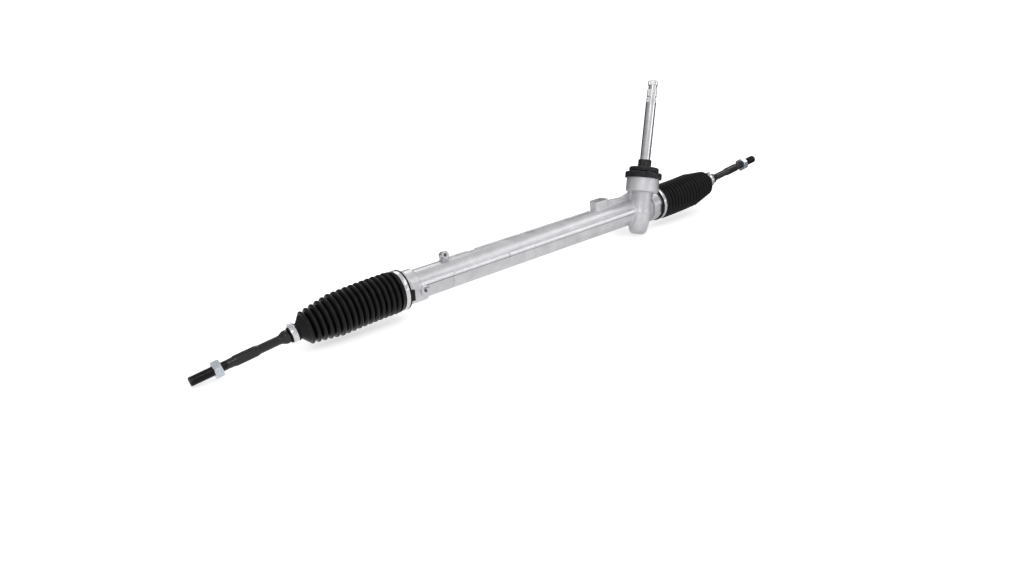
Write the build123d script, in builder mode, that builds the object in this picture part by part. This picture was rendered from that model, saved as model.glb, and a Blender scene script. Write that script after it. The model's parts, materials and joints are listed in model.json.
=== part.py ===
from build123d import *
import os
from math import acos, asin, atan2, cos, degrees, pi, radians, sin, sqrt, tan

os.makedirs("parts", exist_ok=True)

# Manual rack-and-pinion steering gear. All sizes are in millimetres and degrees.
# The origin is the middle of the mounting pad's two threaded holes, on the pad's face.
# +X runs along the rack towards the pinion end, +Z is up, and -Y is the pinion side.
# Stations are distances along the rack from the middle of the housing.

# ---- Fits -------------------------------------------------------------------
running_fit = 0.06        # radial play of what turns or slides in its seat
seat_fit = 0.02           # radial play of what is seated and stays still
soft_gap = 0.35           # air between rubber and a piece of another body
tooth_backlash = 0.14     # play across a tooth on the pitch plane

# ---- Layout -----------------------------------------------------------------
housing_half = 280.0      # housing's end faces, either side
pad_inset = 138.0         # mounting pad, in from the near end face
pinion_inset = 59.8       # where the pinion passes the rack, in from that face
ball_outset = 75.0        # inner ball joints, out from the end faces
rack_drop = 37.0          # the rack's axis below the pad's face
rack_forward = 6.0        # the rack's axis in front of the pad's holes
rack_travel = 62.0        # each way from straight ahead
pinion_lean_out = 19.2    # pinion leans away from the housing's middle
pinion_lean_back = 7.3    # and away from the front
seam_lean = 37.0          # where the turned shapes start, down from the back

# ---- Rack bar ---------------------------------------------------------------
rack_radius = 13.0
rack_end_gap = 27.0       # from the ball's centre to the rack's end
rack_chamfer = 1.5
socket_bore_depth = 22.0
tooth_module = 2.0        # across the teeth
pressure_angle = 30.0
pinion_teeth = 8
tooth_addendum = 1.6
tooth_dedendum = 2.0
cutter_run_out = 1.0      # the gap's cutter stands this far above the tips
tooth_flat = 10.2         # tooth tips above the rack's axis
rack_tooth_gaps = 29

# ---- Pinion -----------------------------------------------------------------
pinion_face = 30.0        # length of the pinion's teeth
pinion_pilot_radius = 5.5
pinion_pilot_length = 17.5
bearing_seat_radius = 9.6
bearing_shoulder = 0.6    # the step that the inner race rests on
journal_radius = 9.3      # through the seal and the cap
journal_rise = 0.7        # the journal ends this far above the cap
shaft_radius = 9.0        # plain stretch above the journal
spline_radius = 8.8
shaft_top = 229.0         # all heights are along the pinion from the rack's level
spline_start = 191.0
spline_teeth = 36
spline_depth = 0.45
pinch_groove_height = 217.0
pinch_groove_width = 8.0
pinch_groove_depth = 1.6
ring_groove_height = 200.5
ring_groove_width = 2.2
ring_groove_depth = 0.9
shaft_chamfer = 1.2

# ---- Pinion bearings --------------------------------------------------------
bearing_base = 36.0       # lower face of the ball bearing
bearing_width = 12.0
bearing_radius = 20.0
bearing_ball_radius = 3.5
bearing_ball_count = 9
bearing_groove_depth = 1.2  # of the races' grooves
needle_length = 12.0
needle_radius = 1.25
needle_count = 14
needle_shell = 0.8
snap_ring_height = 1.4
snap_ring_width = 2.2
snap_ring_gap = 40.0      # angle left open

# ---- Lock ring, seal and cap above the bearing ------------------------------
lock_ring_radius = 22.5
lock_ring_height = 9.0
lock_ring_slots = 6
lock_ring_slot = 4.0
seal_radius = 15.0
seal_height = 7.0
seal_wall = 2.0
cap_flange_radius = 32.5
cap_flange_height = 8.6
cap_tier_radius = 26.2
cap_tier_height = 9.4
cap_neck_radius = 11.8
cap_neck_height = 13.3
cap_neck_wall = 1.6
cap_wall = 2.4
cap_skirt_length = 2.0    # hangs over the collar's rim
cap_lugs = 8
cap_lug_width = 7.0
cap_lug_depth = 1.2

# ---- Pinion tower of the housing --------------------------------------------
tower_radius = 18.4
tower_foot = -22.0        # where the tower's cone starts
tower_bottom = -41.5
tower_bottom_radius = 14.5
tower_bottom_round = 6.0
tower_step_start = -4.5   # parting step across the tower's front
tower_step_length = 7.5
tower_step = 0.9
collar_radius = 28.7
collar_bottom = 33.0
collar_top = 59.0
collar_round = 1.6
pinion_bore_gap = 1.0     # between the pinion's tips and the tower's bore

# ---- Housing tube -----------------------------------------------------------
tube_radius = 22.6
tube_bore_radius = 17.5
ledge_height = 3.4        # parting ledge above the rack's axis, at the front
ledge_step = 1.5
rail_height = 0.9         # raised rail above the ledge
rail_width = 7.5
rail_thick_inset = 197.0  # where it turns thicker, from the far end face
rail_thick_extra = 0.5
rib_angle = 20.0          # top rib, back from upright
rib_width = 5.0
rib_height = 1.7
rib_runs = [(92.0, 136.0), (154.0, 398.0)]  # from the far end face
end_seat_radius = 27.0    # under the boot's cuff
end_seat_length = 14.0
end_bore_depth = 24.0
socket_room = 2.2         # around the ball socket at full lock
left_collar_radius = 25.6
left_collar_length = 17.0
left_heel_length = 13.0   # lower front of the collar, under the lug
right_collar_radius = 28.5
right_collar_length = 18.0
overlap = 1.0             # how far joined masses run into one another

# ---- Mounting pad and lugs --------------------------------------------------
pad_length = 31.0
pad_depth = 19.0
pad_back_offset = 0.5     # the pad's middle in front of its holes
pad_round = 5.0
pad_hole_spacing = 19.5
pad_hole_radius = 3.4
pad_hole_depth = 13.0
hole_chamfer = 0.6
lug_radius = 6.4
lug_hole_radius = 2.5
lug_hole_depth = 9.0
lug_tilt = 20.0           # the lugs' faces look up by this
lug_reach = 31.0          # the lugs' faces from the rack's axis
upper_lug_inset = 92.0    # from the far end face
upper_lug_angle = 86.0    # round the rack from the front
upper_lug_length = 11.0
lug_neck_inset = 2.0      # the neck under it is slimmer than the lug by this
lower_lug_inset = 33.5
lower_lug_angle = -1.5
lower_lug_length = 12.0
lower_lug_radius = 7.4

# ---- Web from the pad to the bearing collar ---------------------------------
web_thickness = 6.0
web_back = 1.0            # its middle, behind the rack's axis
web_pad_height = 34.7     # heights of its top edge above the rack's axis
web_low_height = 30.9
web_low_reach = 29.8      # the low point, back from the pinion
web_end_height = 37.6

# ---- Yoke -------------------------------------------------------------------
yoke_radius = 14.0
yoke_front = 6.5          # distances from the rack's axis towards the back
yoke_back = 33.0
liner_thickness = 1.0
liner_span = 100.0        # angle of rack that the liner wraps
liner_length = 22.4
yoke_spring_bore = 10.0
yoke_spring_depth = 9.0
yoke_ring_station = 27.0
yoke_ring_width = 2.6
yoke_ring_depth = 2.1
yoke_ring_section = 1.17  # half the squeezed ring's width
yoke_ring_squeezed = 0.78  # and half its height
yoke_plug_front = 36.0
yoke_plug_length = 18.0
yoke_plug_radius = 15.2
plug_socket_flats = 14.0
plug_socket_depth = 8.0
plug_web = 4.8            # between the plug's socket and its spring bore
yoke_boss_radius = 18.6
yoke_boss_end = 50.0
yoke_boss_round = 1.5
gusset_thickness = 6.0    # web from the yoke boss up to the collar
gusset_reach = 30.0
yoke_nut_flats = 36.0
yoke_nut_height = 6.0
spring_wire_radius = 1.5
spring_turns = 4
spring_mean_radius = 7.0

# ---- Rack bushing at the far end --------------------------------------------
bushing_inset = 38.0      # from the far end face
bushing_length = 24.0
bushing_slots = 3
bushing_slot = 2.0
bushing_ring_width = 1.6
bushing_ring_depth = 1.2
bushing_ring_gap = 20.0   # angle left open
bushing_gap_middle = 90.0  # at the back
bushing_ring_play = 2.0   # round the rack

# ---- Inner ball joints ------------------------------------------------------
ball_radius = 12.0
ball_play = 0.1
seat_wall = 2.1
seat_front = 6.5          # the seat's rim, out from the ball's centre
seat_back = -9.0
socket_radius = 17.5
socket_mouth = 8.5        # where the socket's flare starts
socket_end = 12.5
socket_flare = 3.2        # how far the mouth widens to the end face
socket_flats = 30.0
socket_flat_length = 12.0
socket_stud_radius = 7.0
socket_stud_length = 18.0
washer_thickness = 1.5
washer_tab_length = 6.0
washer_tab_width = 8.0
stop_gap = 0.5            # left between the stop and the rack's end at full lock
stop_bore_radius = 14.6

# ---- Tie rods ---------------------------------------------------------------
rod_tip_reach = 223.0     # distances from the ball's centre along the rod
rod_thread_radius = 7.0
rod_root_radius = 6.6     # the thread's inner stretch, under the nut
rod_step_gap = 0.5        # from the nut's face to the full thread
rod_waist_length = 6.0
rod_neck_radius = 5.4
rod_neck_end = 19.0
rod_shank_radius = 6.25
rod_taper = 4.0
left_seat_start = 79.0
right_seat_start = 74.0
rod_seat_length = 12.0
rod_seat_radius = 8.0
rod_flare_radius = 9.5
rod_flare_length = 13.0
rod_flare_flats = 16.0
rod_wrench_start = 135.0
rod_wrench_length = 29.0
rod_wrench_radius = 7.4
rod_wrench_flats = 12.6
rod_waist_radius = 6.4
rod_chamfer = 1.6
jam_nut_reach = 186.0
jam_nut_flats = 22.0
jam_nut_height = 11.0
nut_face_share = 0.2      # shares of a nut's corners, turned off at its faces
nut_side_share = 0.7
left_rod_pitch = -8.3     # tip up or down as it lies
left_rod_yaw = 4.0        # tip back or forward
right_rod_pitch = 5.8
right_rod_yaw = 0.0
left_rod_stretch = 5.0    # the far rod is longer by this
right_rod_stretch = 0.0

# ---- Boots and clamps -------------------------------------------------------
cuff_radius = 29.2
cuff_lip_radius = 30.2
cuff_lip_length = 3.2
cuff_length = 12.0
boot_crest_radius = 31.2
boot_small_crest_radius = 24.0
boot_growing_crests = 5
boot_crests = 16
boot_fold_depth = 6.6
boot_wall = 1.7
fold_root_place = 0.18    # shares of a fold's pitch
fold_crest_place = 0.5
fold_crest_width = 0.18
fold_crest_drop = 1.0
boot_shoulder = 3.0       # from the cuff to the first fold
boot_cone_length = 10.0
boot_cone_radius = 21.5
boot_neck_length = 12.5
boot_neck_radius = 11.0
boot_neck_lip_radius = 12.2
boot_neck_lip_length = 3.0
boot_tab_angle = -5.0
boot_tab_width = 17.0
boot_tab_length = 4.5
boot_tab_height = 3.0
large_clamp_width = 6.4
large_clamp_thickness = 0.9
small_clamp_width = 7.6
small_clamp_thickness = 0.9
clamp_ear_height = 4.6
clamp_ear_width = 6.5
clamp_ear_wall = 1.1

# ---- Directions and planes --------------------------------------------------
lean_out = radians(pinion_lean_out)
lean_back = radians(pinion_lean_back)
pinion_dir = Vector(sin(lean_out), sin(lean_back) * cos(lean_out), cos(lean_back) * cos(lean_out))
front_dir = Vector(0, -cos(lean_back), sin(lean_back))
back_dir = -front_dir
pad_station = housing_half - pad_inset
pinion_station = housing_half - pinion_inset
ball_station = housing_half + ball_outset
bushing_station = bushing_inset - housing_half
upper_lug_station = upper_lug_inset - housing_half
lower_lug_station = lower_lug_inset - housing_half
rail_thick_start = rail_thick_inset - housing_half
middle = Vector(-pad_station, -rack_forward, -rack_drop)


def at_station(station):
    return middle + Vector(station, 0, 0)


def across(station):
    # local x is towards the back, local y is up, and the normal runs along the rack
    return Plane(origin=at_station(station), x_dir=(0, 1, 0), z_dir=(1, 0, 0))


pitch_plane_reach = tooth_flat - tooth_addendum
pinion_pitch_radius = tooth_module * pinion_teeth / 2
pinion_tip_radius = pinion_pitch_radius + tooth_addendum
pinion_root_radius = pinion_pitch_radius - tooth_dedendum
pinion_offset = pitch_plane_reach + pinion_pitch_radius
mesh_point = at_station(pinion_station)
pinion_foot = mesh_point + front_dir * pinion_offset


def up_pinion(height):
    # local x is towards the front, away from the rack
    return Plane(origin=pinion_foot + pinion_dir * height, x_dir=front_dir, z_dir=pinion_dir)


def behind_rack(reach):
    return Plane(origin=mesh_point + back_dir * reach, x_dir=(1, 0, 0), z_dir=back_dir)


# the turned shapes' seams lie low at the back, where nothing joins the tube
seam_side = Vector(0, cos(radians(seam_lean)), sin(radians(seam_lean)))
rack_section = Plane(origin=middle, x_dir=(1, 0, 0), z_dir=seam_side)
pinion_section = Plane(origin=pinion_foot, x_dir=pinion_dir, z_dir=pinion_dir.cross(front_dir))
yoke_section = Plane(origin=mesh_point, x_dir=back_dir, z_dir=back_dir.cross(Vector(1, 0, 0)))


def turn(plane, points, mode=Mode.ADD):
    # turns a closed outline of (along, radius) points about the plane's local x
    with BuildSketch(plane) as outline:
        with BuildLine():
            Polyline(*points, close=True)
        make_face()
    revolve(outline.sketch, axis=Axis(plane.origin, plane.x_dir), mode=mode)


def rod_about(plane, start, end, radius, mode=Mode.ADD):
    turn(plane, [(start, 0), (start, radius), (end, radius), (end, 0)], mode)


def ring_about(plane, start, end, inner, outer, mode=Mode.ADD):
    turn(plane, [(start, inner), (start, outer), (end, outer), (end, inner)], mode)


def finish(piece, name):
    piece.part.label = name
    export_step(piece.part, f"parts/{name}.step")


# ---- Sizes that follow from the ones above ----------------------------------
rack_half = ball_station - rack_end_gap
pinion_bore_radius = pinion_tip_radius + pinion_bore_gap
pinion_half_face = pinion_face / 2
pilot_end = -pinion_half_face - pinion_pilot_length
needle_outer = pinion_pilot_radius + running_fit + 2 * needle_radius
needle_cup_radius = needle_outer + seat_fit + needle_shell
needle_cup_end = pilot_end - 2 * needle_shell
needle_top = needle_cup_end + 2 * needle_shell + needle_length
bearing_top = bearing_base + bearing_width
lock_ring_top = bearing_top + lock_ring_height
cap_skirt = collar_top - cap_skirt_length
cap_flange_top = collar_top + cap_flange_height
cap_tier_top = cap_flange_top + cap_tier_height
cap_neck_top = cap_tier_top + cap_neck_height
journal_end = cap_neck_top + journal_rise
shoulder_radius = bearing_seat_radius + bearing_shoulder
yoke_bore_radius = yoke_radius + running_fit
yoke_plug_back = yoke_plug_front + yoke_plug_length
liner_radius = rack_radius + running_fit
cradle_radius = liner_radius + liner_thickness
ball_cavity_radius = ball_radius + ball_play + seat_wall + ball_play
socket_back = ball_station - rack_half - washer_thickness
end_bore_radius = socket_radius + socket_room
stop_station = housing_half - end_bore_depth
cuff_end = housing_half + 1.0
cuff_start = cuff_end - cuff_length

# ---- Housing: one casting ---------------------------------------------------
seat_end_left = -(housing_half - end_seat_length)
seat_end_right = housing_half - end_seat_length
left_collar_end = seat_end_left + left_collar_length
right_collar_start = seat_end_right - right_collar_length
ledge_angle = asin(ledge_height / tube_radius)

with BuildPart() as rack_housing:
    # tube, from the far collar to the pinion end
    rod_about(rack_section, left_collar_end - overlap, right_collar_start + overlap, tube_radius)

    # flatter wall below the parting ledge, along the front
    with BuildSketch(across(left_collar_end)):
        with Locations((-tube_radius + ledge_step, ledge_height)):
            Rectangle(2 * ledge_step, tube_radius, align=(Align.MAX, Align.MAX))
    extrude(amount=right_collar_start - left_collar_end, mode=Mode.SUBTRACT)

    # rails above the ledge, thicker towards the pinion
    rail_spans = [(upper_lug_station, rail_thick_start, rail_height),
                  (rail_thick_start, pinion_station, rail_height + rail_thick_extra)]
    for start, end, height in rail_spans:
        outer = tube_radius + height
        low = 180 - degrees(asin(ledge_height / outer))
        high = 180 - degrees(ledge_angle + rail_width / tube_radius)
        with BuildSketch(across(start)):
            with BuildLine():
                edge = CenterArc((0, 0), outer, high, low - high)
                Polyline(edge @ 1, (0, 0), edge @ 0)
            make_face()
        extrude(amount=end - start)

    # stiffening rib along the top
    for start, end in rib_runs:
        rib_side = Vector(0, cos(radians(rib_angle)), -sin(radians(rib_angle)))
        rib_start = at_station(start - housing_half)
        with BuildSketch(Plane(origin=rib_start, x_dir=rib_side, z_dir=(1, 0, 0))):
            Rectangle(rib_width, tube_radius + rib_height, align=(Align.CENTER, Align.MIN))
        extrude(amount=end - start)

    # far collar, its heel under the lower lug, and the seats under the boots' cuffs
    rod_about(rack_section, seat_end_left - overlap, left_collar_end, left_collar_radius)
    with BuildSketch(across(left_collar_end - overlap)):
        with BuildLine():
            heel = CenterArc((0, 0), left_collar_radius, 180, 80)
            Polyline(heel @ 1, (0, 0), heel @ 0)
        make_face()
    extrude(amount=left_heel_length + overlap)
    rod_about(rack_section, -housing_half, seat_end_left, end_seat_radius)
    rod_about(rack_section, seat_end_right, housing_half, end_seat_radius)
    rod_about(rack_section, right_collar_start, seat_end_right, right_collar_radius)

    # pinion tower: body, round foot and bearing collar
    foot_slope = (tower_radius - tower_bottom_radius) / (tower_foot - tower_bottom)
    turn(pinion_section, [
        (tower_bottom, 0),
        (tower_bottom, tower_bottom_radius - tower_bottom_round),
        (tower_bottom + tower_bottom_round / 4, tower_bottom_radius - tower_bottom_round / 3),
        (tower_bottom + tower_bottom_round, tower_bottom_radius + foot_slope * tower_bottom_round),
        (tower_foot, tower_radius),
        (collar_bottom + overlap, tower_radius),
        (collar_bottom + overlap, 0),
    ])
    turn(pinion_section, [
        (tower_step_start, 0),
        (tower_step_start, tower_radius + tower_step),
        (tower_step_start + tower_step_length, tower_radius),
        (tower_step_start + tower_step_length, 0),
    ])
    turn(pinion_section, [
        (collar_bottom, 0),
        (collar_bottom, collar_radius - collar_round),
        (collar_bottom + collar_round, collar_radius),
        (collar_top, collar_radius),
        (collar_top, 0),
    ])

    # yoke boss behind the rack, and a gusset from it to the collar
    turn(yoke_section, [
        (0, 0),
        (0, yoke_boss_radius),
        (yoke_boss_end - yoke_boss_round, yoke_boss_radius),
        (yoke_boss_end, yoke_boss_radius - yoke_boss_round),
        (yoke_boss_end, 0),
    ])
    gusset_plane = Plane(origin=pinion_foot, x_dir=back_dir, z_dir=back_dir.cross(pinion_dir))
    with BuildSketch(gusset_plane.offset(-gusset_thickness / 2)):
        with BuildLine():
            Polyline((0, 0), (gusset_reach + pinion_offset, 0),
                     (collar_radius - collar_round, collar_bottom + overlap),
                     (0, collar_bottom + overlap), close=True)
        make_face()
    extrude(amount=gusset_thickness)

    # web along the top, from the pad to the collar
    with BuildSketch(Plane(origin=middle + Vector(0, web_back, 0), x_dir=(1, 0, 0), z_dir=(0, -1, 0))):
        with BuildLine():
            Polyline((pad_station, 0), (pad_station, web_pad_height),
                     (pinion_station - web_low_reach, web_low_height),
                     (pinion_station, web_end_height), (pinion_station, 0), close=True)
        make_face()
    extrude(amount=web_thickness / 2, both=True)

    # mounting pad on top
    with BuildSketch(Plane.XY):
        with Locations((0, -pad_back_offset)):
            RectangleRounded(pad_length, pad_depth, pad_round)
    extrude(amount=-rack_drop)

    # lugs for small screws, facing the front
    lug_dir = Vector(0, -cos(radians(lug_tilt)), sin(radians(lug_tilt)))
    lug_sites = [
        (upper_lug_station, upper_lug_angle, upper_lug_length, lug_radius),
        (lower_lug_station, lower_lug_angle, lower_lug_length, lower_lug_radius),
    ]
    lug_planes = []
    for station, angle, length, radius in lug_sites:
        face_point = at_station(station) + Vector(0, -cos(radians(angle)), sin(radians(angle))) * lug_reach
        lug_plane = Plane(origin=face_point, x_dir=(1, 0, 0), z_dir=lug_dir)
        lug_planes.append(lug_plane)
        with BuildSketch(lug_plane):
            Circle(radius)
        extrude(amount=-length)
    # neck under the upper lug
    with BuildSketch(across(upper_lug_station - lug_radius + lug_neck_inset / 2)):
        with BuildLine():
            Polyline((-lug_radius, 0), (lug_radius, 0),
                     (upper_lug_length - lug_neck_inset, lug_reach - lug_radius),
                     (-lug_neck_inset, lug_reach - lug_radius), close=True)
        make_face()
    extrude(amount=2 * lug_radius - lug_neck_inset)

    # inside: rack tunnel, counterbores, pinion and yoke bores
    rod_about(rack_section, -housing_half, housing_half, tube_bore_radius, Mode.SUBTRACT)
    rod_about(rack_section, -housing_half, -stop_station, end_bore_radius, Mode.SUBTRACT)
    rod_about(rack_section, stop_station, housing_half, end_bore_radius, Mode.SUBTRACT)
    rod_about(pinion_section, needle_cup_end, 0, needle_cup_radius + seat_fit, Mode.SUBTRACT)
    rod_about(pinion_section, needle_top, bearing_base, pinion_bore_radius, Mode.SUBTRACT)
    rod_about(pinion_section, bearing_base, bearing_top, bearing_radius + seat_fit, Mode.SUBTRACT)
    rod_about(pinion_section, bearing_top, collar_top, lock_ring_radius + seat_fit, Mode.SUBTRACT)
    rod_about(yoke_section, 0, yoke_boss_end, yoke_bore_radius, Mode.SUBTRACT)
    rod_about(yoke_section, yoke_back, yoke_boss_end, yoke_plug_radius + seat_fit, Mode.SUBTRACT)
    rod_about(rack_section, bushing_station - bushing_ring_width - seat_fit, bushing_station,
              tube_bore_radius + bushing_ring_depth, Mode.SUBTRACT)

    # threaded holes, plain in the pad and with a small countersink in the lugs
    for side in (-1, 1):
        hole_section = Plane(origin=(side * pad_hole_spacing / 2, 0, 0), x_dir=(0, 0, -1), z_dir=(0, 1, 0))
        rod_about(hole_section, 0, pad_hole_depth, pad_hole_radius, Mode.SUBTRACT)
    for lug_plane in lug_planes:
        hole_section = Plane(origin=lug_plane.origin, x_dir=-lug_dir, z_dir=(1, 0, 0))
        rod_about(hole_section, 0, lug_hole_depth, lug_hole_radius, Mode.SUBTRACT)
        turn(hole_section, [(0, 0), (0, lug_hole_radius + hole_chamfer),
                            (lug_hole_radius + hole_chamfer, 0)], Mode.SUBTRACT)
finish(rack_housing, "rack_housing")

# ---- Rack bar ---------------------------------------------------------------
tooth_pitch = pi * tooth_module
tooth_pitch_along = tooth_pitch / cos(lean_out)
flank_slope = tan(radians(pressure_angle))
gap_half_at_pitch = tooth_pitch / 4 + tooth_backlash / 2
gap_half_at_root = gap_half_at_pitch - tooth_dedendum * flank_slope
cut_top = tooth_addendum + cutter_run_out
gap_half_at_top = gap_half_at_pitch + cut_top * flank_slope
gap_length = 3 * rack_radius
across_teeth = front_dir.cross(pinion_dir)
toothed_half = tooth_pitch_along * rack_tooth_gaps / 2

with BuildPart() as rack_bar:
    turn(rack_section, [
        (-rack_half, 0),
        (-rack_half, rack_radius - rack_chamfer),
        (-rack_half + rack_chamfer, rack_radius),
        (rack_half - rack_chamfer, rack_radius),
        (rack_half, rack_radius - rack_chamfer),
        (rack_half, 0),
    ])
    # flat along the toothed stretch
    flat_plane = Plane(origin=mesh_point + front_dir * tooth_flat, x_dir=(1, 0, 0), z_dir=front_dir)
    with BuildSketch(flat_plane):
        Rectangle(2 * toothed_half, 2 * rack_radius)
    extrude(amount=rack_radius, mode=Mode.SUBTRACT)
    # tooth gaps run along the pinion's axis, so they cross the bar at an angle
    for step in range(rack_tooth_gaps):
        shift = (step - (rack_tooth_gaps - 1) / 2) * tooth_pitch_along
        gap_origin = mesh_point + front_dir * pitch_plane_reach + Vector(shift, 0, 0)
        gap_plane = Plane(origin=gap_origin, x_dir=across_teeth, z_dir=pinion_dir)
        with BuildSketch(gap_plane):
            with BuildLine():
                Polyline((-gap_half_at_root, -tooth_dedendum), (gap_half_at_root, -tooth_dedendum),
                         (gap_half_at_top, cut_top), (-gap_half_at_top, cut_top), close=True)
            make_face()
        extrude(amount=gap_length / 2, both=True, mode=Mode.SUBTRACT)
    # threaded bores for the inner ball sockets
    for side in (-1, 1):
        rod_about(rack_section, side * rack_half, side * (rack_half - socket_bore_depth),
                  socket_stud_radius + seat_fit, Mode.SUBTRACT)
finish(rack_bar, "rack_bar")

# ---- Pinion shaft -----------------------------------------------------------
base_radius = pinion_pitch_radius * cos(radians(pressure_angle))


def involute(angle):
    return tan(angle) - angle


def flank_half_angle(radius):
    # half the angle a tooth spans at this radius
    at_pitch = (pi / pinion_teeth - tooth_backlash / (2 * pinion_pitch_radius)) / 2
    roll = acos(min(1.0, base_radius / radius))
    return at_pitch + involute(radians(pressure_angle)) - involute(roll)


flank_steps = 6
flank_radii = [base_radius + (pinion_tip_radius - base_radius) * step / flank_steps
               for step in range(flank_steps + 1)]

with BuildPart() as pinion_shaft:
    turn(pinion_section, [
        (pilot_end, 0),
        (pilot_end, pinion_pilot_radius - shaft_chamfer),
        (pilot_end + shaft_chamfer, pinion_pilot_radius),
        (-pinion_half_face, pinion_pilot_radius),
        (-pinion_half_face, pinion_root_radius),
        (pinion_half_face, pinion_root_radius),
        (pinion_half_face, shoulder_radius),
        (bearing_base, shoulder_radius),
        (bearing_base, bearing_seat_radius),
        (bearing_top, bearing_seat_radius),
        (bearing_top, journal_radius),
        (journal_end, journal_radius),
        (journal_end, shaft_radius),
        (spline_start, shaft_radius),
        (spline_start, spline_radius),
        (ring_groove_height - ring_groove_width / 2, spline_radius),
        (ring_groove_height - ring_groove_width / 2, spline_radius - ring_groove_depth),
        (ring_groove_height + ring_groove_width / 2, spline_radius - ring_groove_depth),
        (ring_groove_height + ring_groove_width / 2, spline_radius),
        (shaft_top - shaft_chamfer, spline_radius),
        (shaft_top, spline_radius - shaft_chamfer),
        (shaft_top, 0),
    ])
    # teeth, with a tooth of the pinion in the middle gap of the rack
    with BuildSketch(up_pinion(-pinion_half_face)):
        with PolarLocations(0, pinion_teeth, start_angle=180):
            with BuildLine():
                near = [(radius * cos(flank_half_angle(radius)), -radius * sin(flank_half_angle(radius)))
                        for radius in flank_radii]
                far = [(x, -y) for x, y in reversed(near)]
                root = pinion_root_radius - overlap
                root_angle = flank_half_angle(base_radius)
                Spline(*near)
                Line(near[-1], far[0])
                Spline(*far)
                Polyline(far[-1], (root * cos(root_angle), root * sin(root_angle)),
                         (root * cos(root_angle), -root * sin(root_angle)), near[0])
            make_face()
    extrude(amount=pinion_face)
    # splines at the top, with the groove for the coupling's pinch bolt
    with BuildSketch(up_pinion(spline_start)):
        with PolarLocations(spline_radius, spline_teeth):
            Rectangle(2 * spline_depth, 2 * spline_depth, rotation=45)
    extrude(amount=shaft_top - spline_start, mode=Mode.SUBTRACT)
    ring_about(pinion_section, pinch_groove_height - pinch_groove_width / 2,
               pinch_groove_height + pinch_groove_width / 2,
               spline_radius - pinch_groove_depth, spline_radius + overlap, Mode.SUBTRACT)
finish(pinion_shaft, "pinion_shaft")

# ---- Ball bearing on the pinion ---------------------------------------------
ball_circle = (bearing_seat_radius + bearing_radius) / 2
bearing_middle = bearing_base + bearing_width / 2
groove_radius = bearing_ball_radius + running_fit
race_gap = bearing_ball_radius - bearing_groove_depth

with BuildPart() as bearing_outer_race:
    ring_about(pinion_section, bearing_base, bearing_top, ball_circle + race_gap, bearing_radius)
    with BuildSketch(pinion_section) as groove:
        with Locations((bearing_middle, ball_circle)):
            Circle(groove_radius)
    revolve(groove.sketch, axis=Axis(pinion_section.origin, pinion_section.x_dir), mode=Mode.SUBTRACT)
finish(bearing_outer_race, "bearing_outer_race")

with BuildPart() as bearing_inner_race:
    ring_about(pinion_section, bearing_base + seat_fit, bearing_top, bearing_seat_radius + seat_fit,
               ball_circle - race_gap)
    with BuildSketch(pinion_section) as groove:
        with Locations((bearing_middle, ball_circle)):
            Circle(groove_radius)
    revolve(groove.sketch, axis=Axis(pinion_section.origin, pinion_section.x_dir), mode=Mode.SUBTRACT)
finish(bearing_inner_race, "bearing_inner_race")

with BuildPart() as bearing_balls:
    with Locations(up_pinion(bearing_middle)):
        with PolarLocations(ball_circle, bearing_ball_count):
            Sphere(bearing_ball_radius)
finish(bearing_balls, "bearing_balls")

with BuildPart() as bearing_snap_ring:
    ring_about(pinion_section, bearing_top + seat_fit, bearing_top + snap_ring_height,
               journal_radius + seat_fit, journal_radius + snap_ring_width)
    with BuildSketch(up_pinion(bearing_top)):
        with BuildLine():
            opening = CenterArc((0, 0), 2 * journal_radius, -snap_ring_gap / 2, snap_ring_gap)
            Polyline(opening @ 1, (0, 0), opening @ 0)
        make_face()
    extrude(amount=2 * snap_ring_height, mode=Mode.SUBTRACT)
finish(bearing_snap_ring, "bearing_snap_ring")

# ---- Needle bearing at the pinion's foot ------------------------------------
with BuildPart() as needle_cup:
    ring_about(pinion_section, needle_cup_end + seat_fit, needle_top, needle_outer + seat_fit,
               needle_cup_radius)
    rod_about(pinion_section, needle_cup_end + seat_fit, needle_cup_end + needle_shell,
              needle_outer + 2 * seat_fit)
finish(needle_cup, "needle_cup")

with BuildPart() as needle_rollers:
    needle_circle = pinion_pilot_radius + running_fit + needle_radius
    with BuildSketch(up_pinion(needle_top - needle_length)):
        with PolarLocations(needle_circle, needle_count):
            Circle(needle_radius)
    extrude(amount=needle_length - needle_shell)
finish(needle_rollers, "needle_rollers")

# ---- Lock ring, seal and cap ------------------------------------------------
with BuildPart() as bearing_lock_ring:
    ring_about(pinion_section, bearing_top + seat_fit, lock_ring_top, seal_radius + seat_fit,
               lock_ring_radius)
    with BuildSketch(up_pinion(lock_ring_top - lock_ring_slot)):
        with PolarLocations(lock_ring_radius - lock_ring_slot, lock_ring_slots):
            Rectangle(lock_ring_slot, lock_ring_slot)
    extrude(amount=lock_ring_slot, mode=Mode.SUBTRACT)
finish(bearing_lock_ring, "bearing_lock_ring")

with BuildPart() as pinion_seal:
    seal_start = lock_ring_top - seal_height
    seal_lip = journal_radius + running_fit
    turn(pinion_section, [
        (seal_start, seal_radius),
        (lock_ring_top, seal_radius),
        (lock_ring_top, seal_lip + seal_wall),
        (lock_ring_top - seal_height / 3, seal_lip),
        (lock_ring_top - seal_height / 2, seal_lip),
        (lock_ring_top - seal_height / 2, seal_radius - seal_wall),
        (seal_start, seal_radius - seal_wall),
    ])
finish(pinion_seal, "pinion_seal")

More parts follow.
